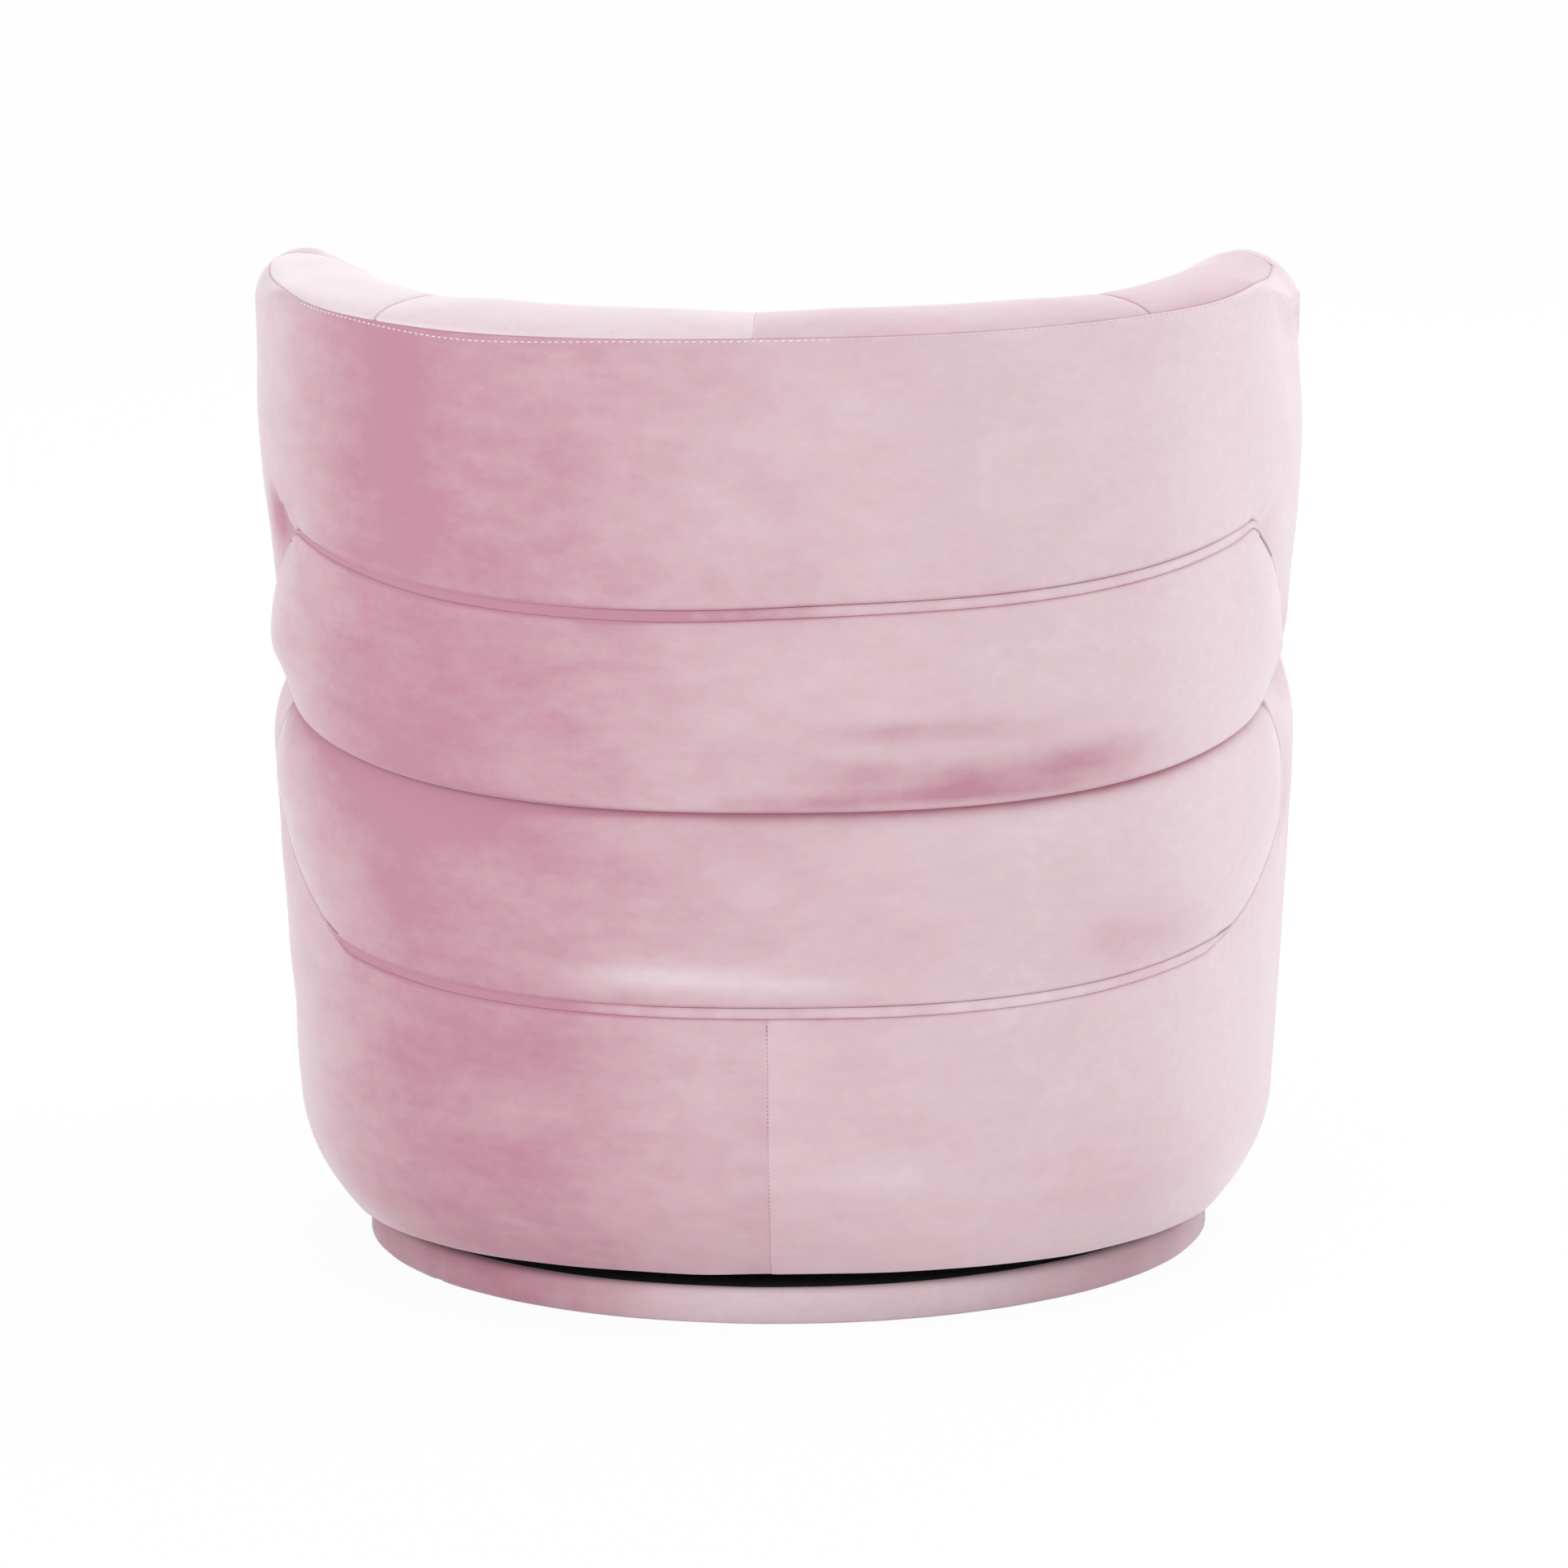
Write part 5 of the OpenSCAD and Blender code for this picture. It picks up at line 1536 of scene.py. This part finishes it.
def face_outwards(piece):
    select_only(piece)
    bpy.ops.object.mode_set(mode="EDIT")
    bpy.ops.mesh.select_all(action="SELECT")
    bpy.ops.mesh.normals_make_consistent(inside=False)
    bpy.ops.object.mode_set(mode="OBJECT")


class CHAIR_OT_stitching(PieceOperator, bpy.types.Operator):
    """Rows of stitches at the rim and down the centre of the skirt"""

    bl_idname = "chair.stitching"
    bl_label = "Stitching"

    def make(self, wall):
        under_rim, margin = 0.0062, 0.004
        lift = 0.0002 - edge_lift(RIM_EDGE, under_rim)
        for name, start, stop, thread in (
            ("left", -7, 58, "thread"),
            ("right", -56, -7, "pale_thread"),
        ):
            line = along(lambda phi: seam_over(phi) - under_rim, start, stop, 120)
            sew(f"rim_stitches_{name}", wall.on_section, line, lift, thread)
        foot, head = settings().body.hem + margin, settings().bands.skirt - margin
        line = straight((SKIRT_CENTRE, foot), (SKIRT_CENTRE, head))
        sew("skirt_seam_stitches", wall.on_wall, line, -0.0001, "seam_thread", 0.6)


class CHAIR_OT_plinth_cover(PieceOperator, bpy.types.Operator):
    """The velvet round the plinth's board, with its seam, and black cloth on its top: a dark sheet that
    paints the deep shade in the gap under the body
    """

    bl_idname = "chair.plinth_cover"
    bl_label = "Plinth cover"

    # Width of the velvet on the plinth's top, and of its hem under the board
    lip, hem = 0.007, 0.070
    # Thickness of the cover, radius of its upper edge, and radius of the hole in its middle
    thick, bend, hole = 0.0026, 0.0055, 0.10
    # Angle of its seam, how deep the seam is drawn in, and how uneven the cover is
    seam_at, seam_in, uneven = 54.0, 0.0016, 0.0004

    def make(self, wall):
        low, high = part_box("plinth_cover")
        radius = high.x
        piece = self.spun(self.profile(low.z, high.z, radius))
        coords = read_points(piece)
        angle, r = np.arctan2(coords[:, 0], coords[:, 1]), np.linalg.norm(coords[:, :2], axis=1)
        seam = bell((angle - math.radians(self.seam_at)) * radius, 0, self.seam_in)
        soft = self.uneven * waves(angle * radius, 131, 0.35, 0.05) * np.cos(angle / 2) ** 2
        shift = (soft - self.seam_in * seam) * (r > radius - 0.012)
        coords[:, :2] *= (1 + shift / r)[:, None]
        write_points(piece, coords)
        for slot in ("velvet", "black_cloth"):
            piece.data.materials.append(finish(slot))
        # The black cloth on the top, inside the velvet's lip, is painted shade in the gap under the body
        for face in piece.data.polygons:
            on_top = face.center.z > high.z - 2 * self.thick
            face.material_index = int(on_top and face.center.xy.length < radius - self.lip)
        piece.data.shade_smooth()
        point_value(piece, "nap_and_light", nap_plinth(coords))
        finish_piece(piece, BASE, "plinth_cover", padded=False)

    def profile(self, low, high, radius):
        """(Radius, height) round the cover's section: its outside, then its inside."""
        turn, inner, wall = np.radians(np.linspace(0, 90, 7)), radius - self.hem, radius - self.thick
        bend = self.bend
        outer = [(inner, low), (radius - 0.002, low), (radius, low + 0.002)]
        outer += [(radius - bend * (1 - math.cos(a)), high - bend * (1 - math.sin(a))) for a in turn]
        outer += [(radius - self.lip, high), (self.hole, high)]
        back = [(self.hole, high - self.thick), (radius - bend, high - self.thick)]
        return outer + back + [(wall, high - bend), (wall, low + self.thick), (inner, low + self.thick)]

    def spun(self, profile):
        """The section turned once round the plinth."""
        count = len(profile)
        mesh = bpy.data.meshes.new("plinth_velvet")
        mesh.from_pydata([(r, 0, z) for r, z in profile], [(i, (i + 1) % count) for i in range(count)], [])
        piece = bpy.data.objects.new("plinth_velvet", mesh)
        bpy.context.scene.collection.objects.link(piece)
        select_only(piece)
        bpy.ops.object.mode_set(mode="EDIT")
        bpy.ops.mesh.select_all(action="SELECT")
        bpy.ops.mesh.spin(steps=240, angle=2 * math.pi, center=(0, 0, 0), axis=(0, 0, 1))
        bpy.ops.mesh.select_all(action="SELECT")
        bpy.ops.mesh.remove_doubles(threshold=1e-5)
        bpy.ops.object.mode_set(mode="OBJECT")
        face_outwards(piece)
        return piece


class CHAIR_OT_cloths(PieceOperator, bpy.types.Operator):
    """The black dust cover under the body and the cloth over the springs"""

    bl_idname = "chair.cloths"
    bl_label = "Cloths"

    def make(self, wall):
        self.cloth("dust_cover", "black_cloth", "bottom_ring")
        self.cloth("deck_cloth", "velvet", "seat_front_rail")

    def cloth(self, node, slot, rests):
        """A copy of the node's sheet with a finer mesh, stretched over its frame."""
        source = frame["nodes"][node]
        piece = source.copy()
        piece.data = source.data.copy()
        piece.name = f"{node}_sheet"
        bpy.context.scene.collection.objects.link(piece)
        piece.parent = None
        for key in [k for k in piece.keys() if k.startswith("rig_")]:
            del piece[key]
        select_only(piece)
        bpy.ops.object.mode_set(mode="EDIT")
        bpy.ops.mesh.select_all(action="SELECT")
        bpy.ops.mesh.remove_doubles(threshold=1e-5)
        bpy.ops.mesh.subdivide(number_cuts=2)
        bpy.ops.object.mode_set(mode="OBJECT")
        piece.data.materials.clear()
        piece.data.materials.append(finish(slot))
        coords = read_points(piece)
        point_value(piece, "nap_and_light", np.full(len(coords), 0.4))
        flat_area = sum(p.area for p in piece.data.polygons if p.normal.z > 0.5)
        finish_piece(piece, SEAT, node, slot=slot, padded=False)


class CHAIR_OT_hardware(PieceOperator, bpy.types.Operator):
    """The finishes of the wood, the steel and the plastic that come from the frame"""

    bl_idname = "chair.hardware"
    bl_label = "Hardware finishes"

    def make(self, wall):
        for part in frame["record"]["subparts"]:
            node = frame["nodes"][part["node"]]
            node.data.materials.clear()
            node.data.materials.append(finish(part["material_slot"]))


class CHAIR_OT_stage(bpy.types.Operator):
    """The floor, the lamps and the camera"""

    bl_idname = "chair.stage"
    bl_label = "Stage"
    bl_options = {"REGISTER", "UNDO"}

    # How much of the background's white the floor shows, and the strength of the light all round
    whiteness, ambient = 0.95, 0.69
    # Each lamp's name, place, size and watts
    LAMPS = (
        ("back", (0.4, 4.4, 2.4), 2.4, 42),
        ("left", (3.6, 1.6, 2.4), 2.0, 32),
        ("right", (-3.4, -0.6, 3.2), 2.0, 53),
        ("front", (-0.8, -3.8, 3.0), 2.4, 44),
    )
    # The camera's lens in mm and its sideways shift
    lens, shift = 243.8, -0.0007
    # The camera's place, the height that it looks at, and its roll in degrees
    spot, aim_z, roll = (-0.2513, 7.9961, 2.0012), 0.3461, -0.472

    def execute(self, context):
        context.scene.view_settings.view_transform = "Standard"
        self.floor()
        self.surroundings(context.scene)
        self.lamps(context.scene)
        self.camera(context.scene)
        return {"FINISHED"}

    def floor(self):
        """A pale floor that shows white, with the chair's shadow on it."""
        bpy.ops.object.select_all(action="DESELECT")
        bpy.ops.mesh.primitive_circle_add(vertices=96, radius=30, fill_type="NGON")
        floor = bpy.context.object
        floor.name = "floor"
        recipe = Recipe("floor")
        grain = recipe.noise(40, 3)
        recipe.set(Base_Color=recipe.blend((0.93, 0.93, 0.93), (0.95, 0.95, 0.95), grain), Roughness=0.9)
        plain = Value(recipe, recipe.shader.outputs[0])
        white = recipe.node("ShaderNodeEmission", {}, {"Color": (1, 1, 1), "Strength": 1.0})
        recipe.show("Material Output", plain, white, recipe.seen() * self.whiteness)
        floor.data.materials.append(recipe.material)

    def surroundings(self, scene):
        """Even light all round, with a white background."""
        scene.world = bpy.data.worlds.new("studio")
        scene.world.use_nodes = True
        nodes = Nodes(scene.world.node_tree)
        light = nodes.tree.nodes["Background"]
        nodes.feed(light.inputs["Color"], (1, 1, 1))
        nodes.feed(light.inputs["Strength"], self.ambient)
        white = nodes.node("ShaderNodeBackground", {}, {"Color": (1, 1, 1)})
        nodes.show("World Output", Value(nodes, light.outputs[0]), white, nodes.seen())

    def lamps(self, scene):
        for name, spot, size, watts in self.LAMPS:
            data = bpy.data.lights.new(name, "AREA")
            data.size, data.energy = size, watts
            lamp = bpy.data.objects.new(name, data)
            lamp.location = spot
            lamp.rotation_euler = (Vector((0, 0, 0.4)) - lamp.location).to_track_quat("-Z", "Y").to_euler()
            scene.collection.objects.link(lamp)

    def camera(self, scene):
        data = bpy.data.cameras.new("camera")
        data.lens, data.shift_x = self.lens, self.shift
        camera = bpy.data.objects.new("camera", data)
        camera.location = self.spot
        aim = (Vector((0, 0, self.aim_z)) - camera.location).to_track_quat("-Z", "Y")
        roll = Matrix.Rotation(math.radians(self.roll), 4, "Z")
        camera.rotation_euler = (aim.to_matrix().to_4x4() @ roll).to_euler()
        scene.collection.objects.link(camera)
        scene.camera = camera


class CHAIR_PT_panel(bpy.types.Panel):
    """The sidebar's list of the chair's pieces"""

    bl_label = "Swivel glider chair"
    bl_space_type = "VIEW_3D"
    bl_region_type = "UI"
    bl_category = "Chair"

    def draw(self, context):
        for group in ("body", "bands", "cushion", "colours"):
            box = self.layout.box()
            box.label(text=group.title())
            values = getattr(settings(), group)
            for name in values.__annotations__:
                box.prop(values, name)
        for operator in OPERATORS:
            self.layout.operator(operator.bl_idname)


OPERATORS = (
    CHAIR_OT_collar,
    CHAIR_OT_bands,
    CHAIR_OT_strips,
    CHAIR_OT_skirts,
    CHAIR_OT_front_panel,
    CHAIR_OT_inner_covers,
    CHAIR_OT_arm_noses,
    CHAIR_OT_seat_cushion,
    CHAIR_OT_stitching,
    CHAIR_OT_plinth_cover,
    CHAIR_OT_cloths,
    CHAIR_OT_hardware,
    CHAIR_OT_stage,
)
GROUPS = (BodySizes, BandSizes, CushionSizes, Colours, ChairSettings)


def register():
    for made in (*GROUPS, *OPERATORS, CHAIR_PT_panel):
        bpy.utils.register_class(made)
    bpy.types.Scene.glider_chair = PointerProperty(type=ChairSettings)


def unregister():
    del bpy.types.Scene.glider_chair
    for made in (CHAIR_PT_panel, *reversed(OPERATORS), *reversed(GROUPS)):
        bpy.utils.unregister_class(made)


def main():
    register()
    for operator in OPERATORS:
        getattr(bpy.ops.chair, operator.bl_idname.split(".")[1])()


if __name__ == "__main__":
    main()
